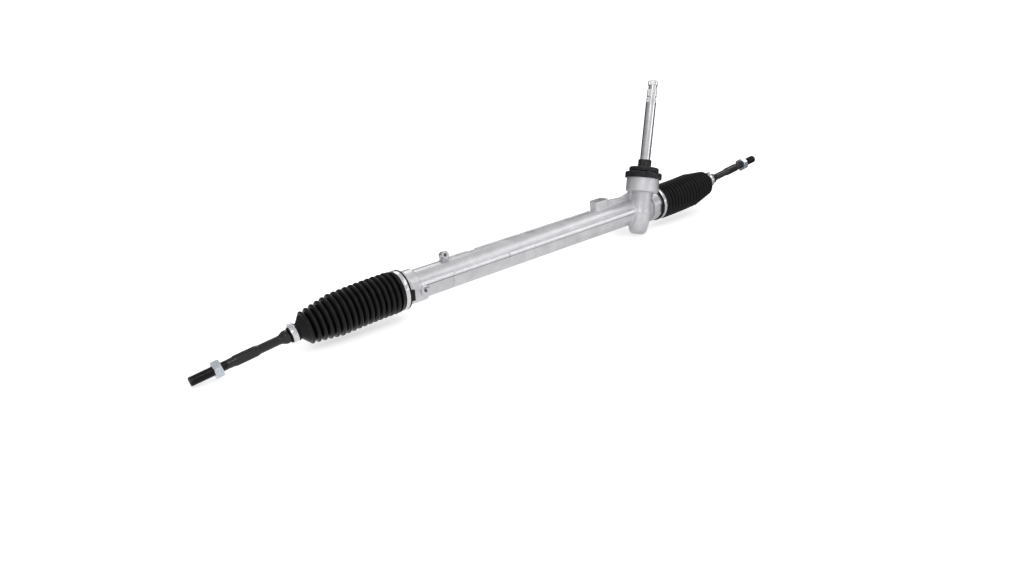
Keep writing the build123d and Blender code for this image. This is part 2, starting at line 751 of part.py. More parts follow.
with BuildPart() as dust_cap:
    turn(pinion_section, [
        (cap_skirt, collar_radius + seat_fit),
        (cap_skirt, cap_flange_radius),
        (cap_flange_top - cap_wall / 2, cap_flange_radius),
        (cap_flange_top, cap_flange_radius - cap_wall / 2),
        (cap_flange_top, cap_tier_radius),
        (cap_tier_top - cap_wall, cap_tier_radius),
        (cap_tier_top, cap_tier_radius - cap_wall),
        (cap_tier_top, cap_neck_radius),
        (cap_neck_top, cap_neck_radius),
        (cap_neck_top, journal_radius + running_fit),
        (cap_neck_top - cap_wall, journal_radius + running_fit),
        (cap_neck_top - cap_wall, cap_neck_radius - cap_neck_wall),
        (cap_tier_top - cap_wall, cap_neck_radius - cap_neck_wall),
        (cap_tier_top - cap_wall, cap_tier_radius - cap_wall),
        (collar_top + cap_wall, cap_tier_radius - cap_wall),
        (collar_top + cap_wall, collar_radius - cap_wall),
        (collar_top + seat_fit, collar_radius - cap_wall),
        (collar_top + seat_fit, collar_radius + seat_fit),
    ])
    # shallow grips round the flange
    with BuildSketch(up_pinion(cap_skirt)):
        with PolarLocations(cap_flange_radius, cap_lugs):
            Rectangle(2 * cap_lug_depth, cap_lug_width)
    extrude(amount=cap_flange_top - cap_skirt, mode=Mode.SUBTRACT)
finish(dust_cap, "dust_cap")

# ---- Yoke, spring and plug --------------------------------------------------
with BuildPart() as rack_yoke:
    rod_about(yoke_section, yoke_front, yoke_back, yoke_radius)
    rod_about(rack_section, pinion_station - 2 * yoke_radius, pinion_station + 2 * yoke_radius,
              cradle_radius + seat_fit, Mode.SUBTRACT)
    rod_about(yoke_section, yoke_back - yoke_spring_depth, yoke_back, yoke_spring_bore, Mode.SUBTRACT)
    ring_about(yoke_section, yoke_ring_station - yoke_ring_width / 2,
               yoke_ring_station + yoke_ring_width / 2, yoke_radius - yoke_ring_depth,
               yoke_radius + overlap, Mode.SUBTRACT)
finish(rack_yoke, "rack_yoke")

with BuildPart() as yoke_liner:
    with BuildSketch(across(pinion_station - liner_length / 2)):
        with BuildLine():
            tilt = degrees(atan2(back_dir.Z, back_dir.Y))
            outer_arc = CenterArc((0, 0), cradle_radius, tilt - liner_span / 2, liner_span)
            inner_arc = CenterArc((0, 0), liner_radius, tilt - liner_span / 2, liner_span)
            Line(outer_arc @ 0, inner_arc @ 0)
            Line(outer_arc @ 1, inner_arc @ 1)
        make_face()
    extrude(amount=liner_length)
finish(yoke_liner, "yoke_liner")

with BuildPart() as yoke_o_ring:
    with BuildSketch(yoke_section) as ring_cut:
        with Locations((yoke_ring_station, yoke_radius - yoke_ring_squeezed + seat_fit)):
            Ellipse(yoke_ring_section, yoke_ring_squeezed)
    revolve(ring_cut.sketch, axis=Axis(yoke_section.origin, yoke_section.x_dir))
finish(yoke_o_ring, "yoke_o_ring")

spring_front = yoke_back - yoke_spring_depth
spring_back = yoke_plug_back - plug_socket_depth - plug_web
spring_length = spring_back - spring_front - 2 * (spring_wire_radius + seat_fit)
with BuildPart() as yoke_spring:
    spring_seat = mesh_point + back_dir * (spring_front + spring_wire_radius + seat_fit)
    with BuildLine() as coil:
        Helix(pitch=spring_length / spring_turns, height=spring_length, radius=spring_mean_radius,
              center=spring_seat, direction=back_dir)
    with BuildSketch(Plane(origin=coil.line @ 0, z_dir=coil.line % 0)):
        Circle(spring_wire_radius)
    sweep(path=coil.line, is_frenet=True)
finish(yoke_spring, "yoke_spring")

with BuildPart() as yoke_plug:
    rod_about(yoke_section, yoke_plug_front, yoke_plug_back, yoke_plug_radius)
    rod_about(yoke_section, yoke_plug_front, spring_back, yoke_spring_bore, Mode.SUBTRACT)
    with BuildSketch(behind_rack(yoke_plug_back - plug_socket_depth)):
        RegularPolygon(plug_socket_flats / 2, 6, major_radius=False)
    extrude(amount=plug_socket_depth, mode=Mode.SUBTRACT)
finish(yoke_plug, "yoke_plug")


def hex_nut(plane, section, start, flats, height, bore):
    # a hexagon with both faces' corners turned off, bored through
    across_corners = flats / cos(radians(30))
    corner = (across_corners - flats) / 2
    with BuildSketch(plane) as outline:
        RegularPolygon(flats / 2, 6, major_radius=False)
    extrude(outline.sketch, amount=height)
    for face, inward in ((start, 1), (start + height, -1)):
        turn(section, [
            (face, flats / 2 - corner * nut_face_share),
            (face, flats),
            (face + inward * flats / 2, flats),
            (face + inward * corner * nut_side_share, across_corners / 2 + corner * nut_face_share),
        ], Mode.SUBTRACT)
    rod_about(section, start, start + height, bore, Mode.SUBTRACT)


with BuildPart() as yoke_lock_nut:
    hex_nut(behind_rack(yoke_boss_end + seat_fit), yoke_section, yoke_boss_end + seat_fit,
            yoke_nut_flats, yoke_nut_height, yoke_plug_radius + seat_fit)
finish(yoke_lock_nut, "yoke_lock_nut")

# ---- Bushing at the far end -------------------------------------------------
with BuildPart() as rack_bushing:
    ring_about(rack_section, bushing_station, bushing_station + bushing_length,
               rack_radius + running_fit, tube_bore_radius - seat_fit)
    with BuildSketch(across(bushing_station)):
        with PolarLocations(tube_bore_radius, bushing_slots):
            Rectangle(tube_bore_radius, bushing_slot)
    extrude(amount=bushing_length / 2, mode=Mode.SUBTRACT)
finish(rack_bushing, "rack_bushing")

with BuildPart() as bushing_ring:
    ring_about(rack_section, bushing_station - bushing_ring_width, bushing_station - seat_fit,
               rack_radius + bushing_ring_play, tube_bore_radius + bushing_ring_depth - seat_fit)
    with BuildSketch(across(bushing_station - bushing_ring_width)):
        with BuildLine():
            opening = CenterArc((0, 0), 2 * tube_bore_radius,
                                bushing_gap_middle - bushing_ring_gap / 2, bushing_ring_gap)
            Polyline(opening @ 1, (0, 0), opening @ 0)
        make_face()
    extrude(amount=bushing_ring_width, mode=Mode.SUBTRACT)
finish(bushing_ring, "bushing_ring")

# ---- Both ends: ball joint, tie rod, boot and clamps ------------------------
def build_end(name, side, pitch, yaw, own_collar_radius, seat_start, stretch):
    flare_start = seat_start + rod_seat_length
    wrench_start = rod_wrench_start + stretch / 2
    nut_reach = jam_nut_reach + stretch
    tip_reach = rod_tip_reach + stretch
    neck_start = flare_start - soft_gap - boot_neck_length
    axial = Vector(side, 0, 0)
    ball_point = at_station(side * ball_station)
    end_section = Plane(origin=ball_point, x_dir=axial, z_dir=(0, -1, 0))
    heading = Vector(side * cos(radians(yaw)), sin(radians(yaw)), 0)
    rod_dir = heading * cos(radians(pitch)) + Vector(0, 0, sin(radians(pitch)))
    rod_side = Vector(0, 0, 1).cross(heading)
    rod_up = rod_dir.cross(rod_side)
    rod_section = Plane(origin=ball_point, x_dir=rod_dir, z_dir=rod_side)

    def along_rod(reach):
        # local x is level, local y is up
        return Plane(origin=ball_point + rod_dir * reach, x_dir=rod_side, z_dir=rod_dir)

    def along_end(reach):
        return Plane(origin=ball_point + axial * reach, x_dir=(0, 1, 0), z_dir=axial)

    # socket: stud into the rack, round body with two flats, swaged rim with a flared mouth
    with BuildPart() as inner_socket:
        back = -socket_back
        mouth_radius = sqrt(ball_cavity_radius**2 - socket_mouth**2)
        turn(end_section, [
            (back - washer_thickness - socket_stud_length, 0),
            (back - washer_thickness - socket_stud_length, socket_stud_radius - rack_chamfer),
            (back - washer_thickness - socket_stud_length + rack_chamfer, socket_stud_radius),
            (back, socket_stud_radius),
            (back, socket_radius - rack_chamfer),
            (back + rack_chamfer, socket_radius),
            (socket_end - rack_chamfer, socket_radius),
            (socket_end, socket_radius - rack_chamfer),
            (socket_end, 0),
        ])
        with Locations(ball_point):
            Sphere(ball_cavity_radius, mode=Mode.SUBTRACT)
        turn(end_section, [
            (socket_mouth, 0),
            (socket_mouth, mouth_radius),
            (socket_end, mouth_radius + socket_flare),
            (socket_end, 0),
        ], Mode.SUBTRACT)
        for flat_side in (-1, 1):
            with BuildSketch(along_end(back)):
                with Locations((0, flat_side * (socket_flats / 2 + socket_radius / 2))):
                    Rectangle(2 * socket_radius, socket_radius)
            extrude(amount=socket_flat_length, mode=Mode.SUBTRACT)
    finish(inner_socket, f"{name}_inner_socket")

    with BuildPart() as ball_seat:
        with BuildSketch(end_section) as shell:
            Circle(ball_radius + ball_play + seat_wall)
            Circle(ball_radius + ball_play, mode=Mode.SUBTRACT)
            with Locations((seat_back, 0)):
                Rectangle(seat_front - seat_back, socket_radius, align=(Align.MIN, Align.MIN),
                          mode=Mode.INTERSECT)
        revolve(shell.sketch, axis=Axis(ball_point, axial))
    finish(ball_seat, f"{name}_ball_seat")

    # washer, with a tab bent over one of the socket's flats
    with BuildPart() as lock_washer:
        ring_about(end_section, -socket_back - washer_thickness + seat_fit, -socket_back - seat_fit,
                   socket_stud_radius + seat_fit, socket_radius - rack_chamfer)
        with BuildSketch(along_end(-socket_back - washer_thickness + seat_fit)):
            with Locations((0, socket_flats / 2 + seat_fit)):
                Rectangle(washer_tab_width, washer_thickness, align=(Align.CENTER, Align.MIN))
        extrude(amount=washer_tab_length + washer_thickness)
    finish(lock_washer, f"{name}_lock_washer")

    with BuildPart() as tie_rod:
        with Locations(ball_point):
            Sphere(ball_radius)
        wrench_end = wrench_start + rod_wrench_length
        thread_start = wrench_end + rod_taper + rod_waist_length
        full_thread_start = nut_reach + jam_nut_height / 2 + rod_step_gap
        turn(rod_section, [
            (0, 0),
            (0, rod_neck_radius),
            (rod_neck_end, rod_neck_radius),
            (rod_neck_end + rod_taper, rod_shank_radius),
            (seat_start - rod_taper, rod_shank_radius),
            (seat_start, rod_seat_radius),
            (flare_start, rod_seat_radius),
            (flare_start + rod_taper / 4, rod_flare_radius),
            (flare_start + rod_flare_length / 2, rod_flare_radius),
            (flare_start + rod_flare_length, rod_shank_radius),
            (wrench_start - rod_taper, rod_shank_radius),
            (wrench_start, rod_wrench_radius),
            (wrench_end, rod_wrench_radius),
            (wrench_end + rod_taper, rod_waist_radius),
            (thread_start - rod_chamfer, rod_waist_radius),
            (thread_start, rod_root_radius),
            (full_thread_start, rod_root_radius),
            (full_thread_start, rod_thread_radius),
            (tip_reach - rod_chamfer, rod_thread_radius),
            (tip_reach, rod_thread_radius - rod_chamfer),
            (tip_reach, 0),
        ])
        flats = [(flare_start, rod_flare_length, rod_flare_flats, rod_flare_radius),
                 (wrench_start, rod_wrench_length, rod_wrench_flats, rod_wrench_radius)]
        for start, length, across_flats, radius in flats:
            for flat_side in (-1, 1):
                with BuildSketch(along_rod(start)):
                    with Locations((0, flat_side * (across_flats / 2 + radius / 2))):
                        Rectangle(2 * radius, radius)
                extrude(amount=length, mode=Mode.SUBTRACT)
    finish(tie_rod, f"{name}_tie_rod")

    with BuildPart() as jam_nut:
        nut_start = nut_reach - jam_nut_height / 2
        hex_nut(along_rod(nut_start), rod_section, nut_start, jam_nut_flats, jam_nut_height,
                rod_root_radius + seat_fit)
    finish(jam_nut, f"{name}_jam_nut")

    with BuildPart() as travel_stop:
        stop_start = stop_station - ball_station
        stop_face = -rack_end_gap - rack_travel - stop_gap
        ring_about(end_section, stop_start + seat_fit, stop_face, stop_bore_radius,
                   end_bore_radius - seat_fit)
    finish(travel_stop, f"{name}_travel_stop")

    # boot: cuff on the housing, folds along a bent middle line, cone and neck on the rod
    cuff_face = cuff_end - ball_station
    cuff_point = ball_point + axial * cuff_face
    neck_point = ball_point + rod_dir * neck_start
    span = (neck_point - cuff_point).length
    cone_start = span - boot_cone_length
    fold_pitch = (cone_start - boot_shoulder) / boot_crests

    def on_middle_line(along):
        # leaves the cuff along the rack and meets the neck along the rod
        part = along / span
        keep = 2 * part**3 - 3 * part**2 + 1
        leave = part**3 - 2 * part**2 + part
        arrive = part**3 - part**2
        point = cuff_point * keep + neck_point * (1 - keep) + (axial * leave + rod_dir * arrive) * span
        turning = 6 * part - 6 * part**2
        heading_there = ((neck_point - cuff_point) * turning
                         + axial * span * (3 * part**2 - 4 * part + 1)
                         + rod_dir * span * (3 * part**2 - 2 * part))
        return Plane(origin=point, x_dir=(0, 1, 0), z_dir=heading_there)

    # distances and radii of the shoulder, of each fold's root and crest, and of the cone
    boot_rings = [(0, cuff_radius), (boot_shoulder, boot_crest_radius - fold_crest_drop)]
    for fold in range(boot_crests):
        growth = min(1.0, (boot_crests - 1 - fold) / boot_growing_crests)
        crest = boot_small_crest_radius + (boot_crest_radius - boot_small_crest_radius) * growth
        start = boot_shoulder + fold * fold_pitch
        boot_rings.append((start + fold_pitch * fold_root_place, crest - boot_fold_depth))
        boot_rings.append((start + fold_pitch * fold_crest_place, crest))
        boot_rings.append((start + fold_pitch * (fold_crest_place + fold_crest_width), crest))
    boot_rings.append((cone_start, boot_cone_radius))
    boot_rings.append((span, boot_neck_radius))

    with BuildPart() as boot:
        rod_about(end_section, cuff_start - ball_station, cuff_face, cuff_radius)
        rod_about(end_section, cuff_start - ball_station, cuff_start - ball_station + cuff_lip_length,
                  cuff_lip_radius)
        for along, radius in boot_rings:
            with BuildSketch(on_middle_line(along)):
                Circle(radius)
        loft(ruled=True)
        rod_about(rod_section, neck_start - overlap, neck_start + boot_neck_length, boot_neck_radius)
        rod_about(rod_section, neck_start, neck_start + boot_neck_lip_length, boot_neck_lip_radius)
        # locating tab on the cuff, over the collar
        tab_angle = radians(boot_tab_angle)
        tab_base = max(own_collar_radius, end_seat_radius) + soft_gap
        tab_plane = Plane(origin=ball_point + axial * (cuff_start - ball_station),
                          x_dir=(0, -cos(tab_angle), sin(tab_angle)), z_dir=-axial)
        with BuildSketch(tab_plane):
            with Locations((tab_base, 0)):
                Rectangle(boot_tab_height, boot_tab_width, align=(Align.MIN, Align.CENTER))
        extrude(amount=boot_tab_length)
        with BuildSketch(tab_plane):
            with Locations((end_seat_radius + seat_fit, 0)):
                Rectangle(tab_base + boot_tab_height - end_seat_radius - seat_fit, boot_tab_width,
                          align=(Align.MIN, Align.CENTER))
        extrude(amount=-overlap)
        # hollow inside
        rod_about(end_section, cuff_start - ball_station, cuff_face, end_seat_radius + seat_fit,
                  Mode.SUBTRACT)
        for along, radius in boot_rings:
            with BuildSketch(on_middle_line(along)):
                Circle(radius - boot_wall)
        loft(ruled=True, mode=Mode.SUBTRACT)
        rod_about(rod_section, neck_start - overlap, neck_start + boot_neck_length,
                  rod_seat_radius + soft_gap, Mode.SUBTRACT)
    finish(boot, f"{name}_boot")

    with BuildPart() as large_clamp:
        clamp_middle = cuff_start + cuff_lip_length + seat_fit + large_clamp_width / 2 - ball_station
        ring_about(end_section, clamp_middle - large_clamp_width / 2, clamp_middle + large_clamp_width / 2,
                   cuff_radius + seat_fit, cuff_radius + large_clamp_thickness)
        build_ear(end_section, clamp_middle, cuff_radius + large_clamp_thickness, large_clamp_width,
                  Vector(0, 1, 0))
    finish(large_clamp, f"{name}_large_clamp")

    with BuildPart() as small_clamp:
        clamp_middle = neck_start + boot_neck_lip_length + seat_fit + small_clamp_width / 2
        ring_about(rod_section, clamp_middle - small_clamp_width / 2, clamp_middle + small_clamp_width / 2,
                   boot_neck_radius + soft_gap, boot_neck_radius + soft_gap + small_clamp_thickness)
        build_ear(rod_section, clamp_middle, boot_neck_radius + soft_gap + small_clamp_thickness,
                  small_clamp_width, rod_up)
    finish(small_clamp, f"{name}_small_clamp")


def build_ear(section, middle_along, radius, width, out):
    # the pinched loop of a crimped clamp, standing out from the band
    along = section.x_dir
    loop_base = section.origin + along * (middle_along - width / 2) + out * (radius - clamp_ear_wall / 2)
    with BuildSketch(Plane(origin=loop_base, x_dir=out.cross(along), z_dir=along)) as loop:
        with Locations((0, clamp_ear_height / 2)):
            RectangleRounded(clamp_ear_width, clamp_ear_height, clamp_ear_wall)
            RectangleRounded(clamp_ear_width - 2 * clamp_ear_wall, clamp_ear_height - 2 * clamp_ear_wall,
                             clamp_ear_wall / 2, mode=Mode.SUBTRACT)
    extrude(loop.sketch, amount=width)


build_end("left", -1, left_rod_pitch, left_rod_yaw, left_collar_radius, left_seat_start,
          left_rod_stretch)
build_end("right", 1, right_rod_pitch, right_rod_yaw, right_collar_radius, right_seat_start,
          right_rod_stretch)
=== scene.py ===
import json
import math
import bpy
import bmesh
from mathutils import Matrix, Vector


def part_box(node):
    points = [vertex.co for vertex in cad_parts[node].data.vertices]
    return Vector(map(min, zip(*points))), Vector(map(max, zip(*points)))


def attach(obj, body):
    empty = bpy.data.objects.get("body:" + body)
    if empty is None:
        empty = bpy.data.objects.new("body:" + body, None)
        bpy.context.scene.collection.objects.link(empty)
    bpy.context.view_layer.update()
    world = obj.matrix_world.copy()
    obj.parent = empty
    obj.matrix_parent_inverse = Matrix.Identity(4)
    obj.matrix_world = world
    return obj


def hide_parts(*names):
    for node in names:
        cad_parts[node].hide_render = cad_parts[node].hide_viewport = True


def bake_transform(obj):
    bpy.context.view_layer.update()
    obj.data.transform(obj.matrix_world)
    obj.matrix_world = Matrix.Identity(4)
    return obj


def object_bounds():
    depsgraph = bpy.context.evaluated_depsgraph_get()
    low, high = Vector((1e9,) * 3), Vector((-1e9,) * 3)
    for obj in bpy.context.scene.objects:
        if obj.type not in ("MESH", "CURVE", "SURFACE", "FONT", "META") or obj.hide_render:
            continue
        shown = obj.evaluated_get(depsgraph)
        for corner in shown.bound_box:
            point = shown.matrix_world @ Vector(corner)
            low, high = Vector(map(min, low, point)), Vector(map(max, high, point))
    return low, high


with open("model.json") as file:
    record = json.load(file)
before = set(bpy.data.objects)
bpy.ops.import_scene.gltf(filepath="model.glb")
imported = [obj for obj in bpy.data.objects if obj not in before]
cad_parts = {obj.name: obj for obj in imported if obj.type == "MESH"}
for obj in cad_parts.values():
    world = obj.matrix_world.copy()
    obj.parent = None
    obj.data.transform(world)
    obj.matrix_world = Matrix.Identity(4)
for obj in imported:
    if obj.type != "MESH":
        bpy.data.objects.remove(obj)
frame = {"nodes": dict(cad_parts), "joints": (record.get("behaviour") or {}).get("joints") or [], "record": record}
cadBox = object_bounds()
mm = 0.001
nodes = frame["nodes"]
print("frame loaded:", len(nodes), "nodes")

# the gear's own lines, from the record: the rack, the pinion and each ball joint
joints = {j["name"]: j for j in frame["joints"]}
rackLow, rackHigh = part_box("rack_bar")
rackCentre = (rackLow + rackHigh) / 2
pinionFoot = Vector(joints["pinion_spin"]["pos_m"])
pinionDir = Vector(joints["pinion_spin"]["axis"]).normalized()
frontDir = Vector((1, 0, 0)).cross(pinionDir).normalized()
mounts = {m["name"]: m for m in frame["record"]["mounts"]}
housingLow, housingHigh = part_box("rack_housing")


# ---- shaping helpers ----

def outlineOf(points, closed=False):
    # an open or closed line of (along, radius) points, ready to be turned about X
    bm = bmesh.new()
    verts = [bm.verts.new((along * mm, 0, radius * mm)) for along, radius in points]
    for a, b in zip(verts, verts[1:]):
        bm.edges.new((a, b))
    if closed:
        bm.edges.new((verts[-1], verts[0]))
    return bm


def turned(points, steps=72, closed=False):
    bm = outlineOf(points, closed)
    bmesh.ops.spin(bm, geom=bm.verts[:] + bm.edges[:], cent=(0, 0, 0), axis=(1, 0, 0),
                   angle=2 * math.pi, steps=steps, use_merge=True, dvec=(0, 0, 0))
    bmesh.ops.remove_doubles(bm, verts=bm.verts[:], dist=0.002 * mm)
    bmesh.ops.recalc_face_normals(bm, faces=bm.faces[:])
    return bm


def rounded(points, radius, segments=3):
    # rounds the corners of an outline, ends left as they are
    out = [points[0]]
    for before, here, after in zip(points, points[1:], points[2:]):
        a, b, c = Vector(before), Vector(here), Vector(after)
        near, far = (a - b), (c - b)
        cut = min(radius, near.length * 0.45, far.length * 0.45)
        if cut < 0.02:
            out.append(here)
            continue
        start, end = b + near.normalized() * cut, b + far.normalized() * cut
        for step in range(segments + 1):
            t = step / segments
            point = start * (1 - t) ** 2 + b * 2 * t * (1 - t) + end * t ** 2
            out.append((point.x, point.y))
    out.append(points[-1])
    return out


def stepped(a, b, count):
    # evenly spaced points from a to just before b
    return [(a[0] + (b[0] - a[0]) * k / count, a[1] + (b[1] - a[1]) * k / count) for k in range(count)]


def placeAlong(bm, origin, along, up):
    # takes X to the given direction, and Z as near to up as it goes
    along = along.normalized()
    side = up.cross(along).normalized()
    up = along.cross(side)
    turn = Matrix((along, side, up)).transposed().to_4x4()
    bmesh.ops.transform(bm, matrix=Matrix.Translation(origin) @ turn, verts=bm.verts[:])
    return bm


def joined(target, extra):
    # adds one mesh to another
    spare = bpy.data.meshes.new("spare")
    extra.to_mesh(spare)
    extra.free()
    target.from_mesh(spare)
    bpy.data.meshes.remove(spare)
    return target


def pieceFrom(bm, name, material, sharp=35):
    mesh = bpy.data.meshes.new(name)
    bm.to_mesh(mesh)
    bm.free()
    piece = bpy.data.objects.new(name, mesh)
    bpy.context.scene.collection.objects.link(piece)
    mesh.materials.append(material)
    mesh.shade_smooth()
    mesh.set_sharp_from_angle(angle=math.radians(sharp))
    return piece


# ---- shared effects ----

def newGroup(name, inputs, outputs):
    group = bpy.data.node_groups.new(name, "ShaderNodeTree")
    for label, kind, value in inputs:
        socket = group.interface.new_socket(label, in_out="INPUT", socket_type=kind)
        socket.default_value = value
    for label, kind in outputs:
        group.interface.new_socket(label, in_out="OUTPUT", socket_type=kind)
    start = group.nodes.new("NodeGroupInput")
    end = group.nodes.new("NodeGroupOutput")
    return group, start, end


def link(tree, source, target):
    tree.links.new(source, target)


def noiseNode(tree, vector, scale, detail=3.0, roughness=0.55):
    noise = tree.nodes.new("ShaderNodeTexNoise")
    noise.inputs["Detail"].default_value = detail
    noise.inputs["Roughness"].default_value = roughness
    if isinstance(scale, (int, float)):
        noise.inputs["Scale"].default_value = scale
    else:
        link(tree, scale, noise.inputs["Scale"])
    link(tree, vector, noise.inputs["Vector"])
    return noise


def mathNode(tree, operation, a, b=None):
    node = tree.nodes.new("ShaderNodeMath")
    node.operation = operation
    for socket, value in zip(node.inputs, (a, b)):
        if value is None:
            continue
        if isinstance(value, (int, float)):
            socket.default_value = value
        else:
            link(tree, value, socket)
    return node.outputs[0]


def rangeNode(tree, value, fromLow, fromHigh, toLow, toHigh):
    node = tree.nodes.new("ShaderNodeMapRange")
    node.clamp = True
    link(tree, value, node.inputs["Value"])
    ends = (("From Min", fromLow), ("From Max", fromHigh), ("To Min", toLow), ("To Max", toHigh))
    for label, number in ends:
        if isinstance(number, (int, float)):
            node.inputs[label].default_value = number
        else:
            link(tree, number, node.inputs[label])
    return node.outputs["Result"]


def mixColours(tree, factor, a, b):
    node = tree.nodes.new("ShaderNodeMix")
    node.data_type = "RGBA"
    for socket, value in ((node.inputs[0], factor), (node.inputs[6], a), (node.inputs[7], b)):
        if isinstance(value, (int, float)):
            socket.default_value = value
        elif isinstance(value, tuple):
            socket.default_value = value
        else:
            link(tree, value, socket)
    return node.outputs[2]


def surfaceMottle():
    # slow and fine variation of a surface, from 0 to 1
    group, start, end = newGroup("surfaceMottle", [
        ("Vector", "NodeSocketVector", (0, 0, 0)),
        ("Broad Scale", "NodeSocketFloat", 60.0),
        ("Fine Scale", "NodeSocketFloat", 900.0),
        ("Fine Share", "NodeSocketFloat", 0.4)], [("Value", "NodeSocketFloat")])
    broad = noiseNode(group, start.outputs["Vector"], start.outputs["Broad Scale"], 4.0)
    fine = noiseNode(group, start.outputs["Vector"], start.outputs["Fine Scale"], 2.0)
    mixed = group.nodes.new("ShaderNodeMix")
    mixed.data_type = "FLOAT"
    link(group, start.outputs["Fine Share"], mixed.inputs[0])
    link(group, broad.outputs["Fac"], mixed.inputs[2])
    link(group, fine.outputs["Fac"], mixed.inputs[3])
    link(group, mixed.outputs[0], end.inputs["Value"])
    return group


def turningLines():
    # fine rings left by a lathe, about an axis through a point
    group, start, end = newGroup("turningLines", [
        ("Vector", "NodeSocketVector", (0, 0, 0)),
        ("Axis", "NodeSocketVector", (1, 0, 0)),
        ("Pitch Scale", "NodeSocketFloat", 2500.0)], [("Value", "NodeSocketFloat")])
    along = group.nodes.new("ShaderNodeVectorMath")
    along.operation = "DOT_PRODUCT"
    link(group, start.outputs["Vector"], along.inputs[0])
    link(group, start.outputs["Axis"], along.inputs[1])
    scaled = mathNode(group, "MULTIPLY", along.outputs["Value"], start.outputs["Pitch Scale"])
    noise = group.nodes.new("ShaderNodeTexNoise")
    noise.noise_dimensions = "1D"
    noise.inputs["Detail"].default_value = 2.0
    noise.inputs["Scale"].default_value = 1.0
    link(group, scaled, noise.inputs["W"])
    link(group, noise.outputs["Fac"], end.inputs["Value"])
    return group


mottle = surfaceMottle()
lathe = turningLines()


def groupIn(tree, group, vector, values):
    node = tree.nodes.new("ShaderNodeGroup")
    node.node_tree = group
    link(tree, vector, node.inputs["Vector"])
    for label, value in values.items():
        node.inputs[label].default_value = value
    return node.outputs["Value"]


def newMaterial(name):
    material = bpy.data.materials.new(name)
    material.use_nodes = True
    tree = material.node_tree
    tree.nodes.clear()
    shader = tree.nodes.new("ShaderNodeBsdfPrincipled")
    out = tree.nodes.new("ShaderNodeOutputMaterial")
    link(tree, shader.outputs[0], out.inputs[0])
    place = tree.nodes.new("ShaderNodeTexCoord").outputs["Object"]
    return material, tree, shader, place


def addBump(tree, shader, height, strength, distance):
    bump = tree.nodes.new("ShaderNodeBump")
    bump.inputs["Strength"].default_value = strength
    bump.inputs["Distance"].default_value = distance
    link(tree, height, bump.inputs["Height"])
    link(tree, bump.outputs["Normal"], shader.inputs["Normal"])


# ---- materials ----

castLook = {
    "dark": (0.52, 0.52, 0.54, 1), "light": (0.71, 0.71, 0.73, 1), "machined": (0.56, 0.56, 0.58, 1),
    "metallic": 0.62, "roughLow": 0.28, "roughHigh": 0.44,
    "ringLow": 0.26, "ringHigh": 0.36, "ringScale": 3000.0,
    "broadScale": 42.0, "fineScale": 1300.0, "fineShare": 0.35, "grainDepth": 0.00018, "grainShare": 0.5,
    "padHalf": 15.6, "padEdge": 0.5, "collarBack": 32.5, "collarFront": 13.5, "collarEdge": 0.4,
    "lugFace": 6.6, "lugFaceRise": 0.6,
    "frontDepth": 15.0, "runStart": 31.0, "runEnd": 480.0,
    # the line's colour is painted shadow under the parting ledge's step
    "lineLow": 1.9, "lineHigh": 3.3, "paintedShadowLineColour": (0.14, 0.14, 0.15, 1),
    "stripGap": 0.6, "stripHigh": 8.6, "stripSoft": 0.6, "paintedHighlightShare": 0.6, "stripRough": 0.27,
    # the strip's colour is a painted highlight, lighter where the ledge's top catches the light
    "paintedHighlightColour": (0.82, 0.82, 0.84, 1),
    # the breaks' colour is painted shade where the ledge steps
    "shadedSteps": [(89.0, 0.5, -21.0), (197.0, 1.2, 1.0)], "stepShadeShare": 0.6,
    "stepShadeColour": (0.22, 0.22, 0.24, 1),
}


def splitAxis(tree, place, index):
    node = tree.nodes.new("ShaderNodeSeparateXYZ")
    link(tree, place, node.inputs[0])
    return node.outputs[index]


def dotPlane(tree, place, point, direction):
    # height of the surface above a plane, in metres
    node = tree.nodes.new("ShaderNodeVectorMath")
    node.operation = "DOT_PRODUCT"
    link(tree, place, node.inputs[0])
    node.inputs[1].default_value = direction
    return mathNode(tree, "SUBTRACT", node.outputs["Value"], Vector(point).dot(Vector(direction)))


def between(tree, value, low, high, soft=0.0003):
    # 1 between two limits, falling off softly outside them
    rise = rangeNode(tree, value, low - soft, low + soft, 0.0, 1.0)
    fall = rangeNode(tree, value, high - soft, high + soft, 1.0, 0.0)
    return mathNode(tree, "MULTIPLY", rise, fall)


def discMask(tree, place, point, direction, radius):
    # the flat end of a boss: close to a plane, and close to its axis
    away = tree.nodes.new("ShaderNodeVectorMath")
    away.operation = "SUBTRACT"
    link(tree, place, away.inputs[0])
    away.inputs[1].default_value = point
    crossed = tree.nodes.new("ShaderNodeVectorMath")
    crossed.operation = "CROSS_PRODUCT"
    link(tree, away.outputs[0], crossed.inputs[0])
    crossed.inputs[1].default_value = direction
    length = tree.nodes.new("ShaderNodeVectorMath")
    length.operation = "LENGTH"
    link(tree, crossed.outputs[0], length.inputs[0])
    inside = rangeNode(tree, length.outputs["Value"], radius - 0.0003, radius, 1.0, 0.0)
    height = rangeNode(tree, dotPlane(tree, place, point, direction), -0.0012, -0.0006, 0.0, 1.0)
    return mathNode(tree, "MULTIPLY", inside, height)


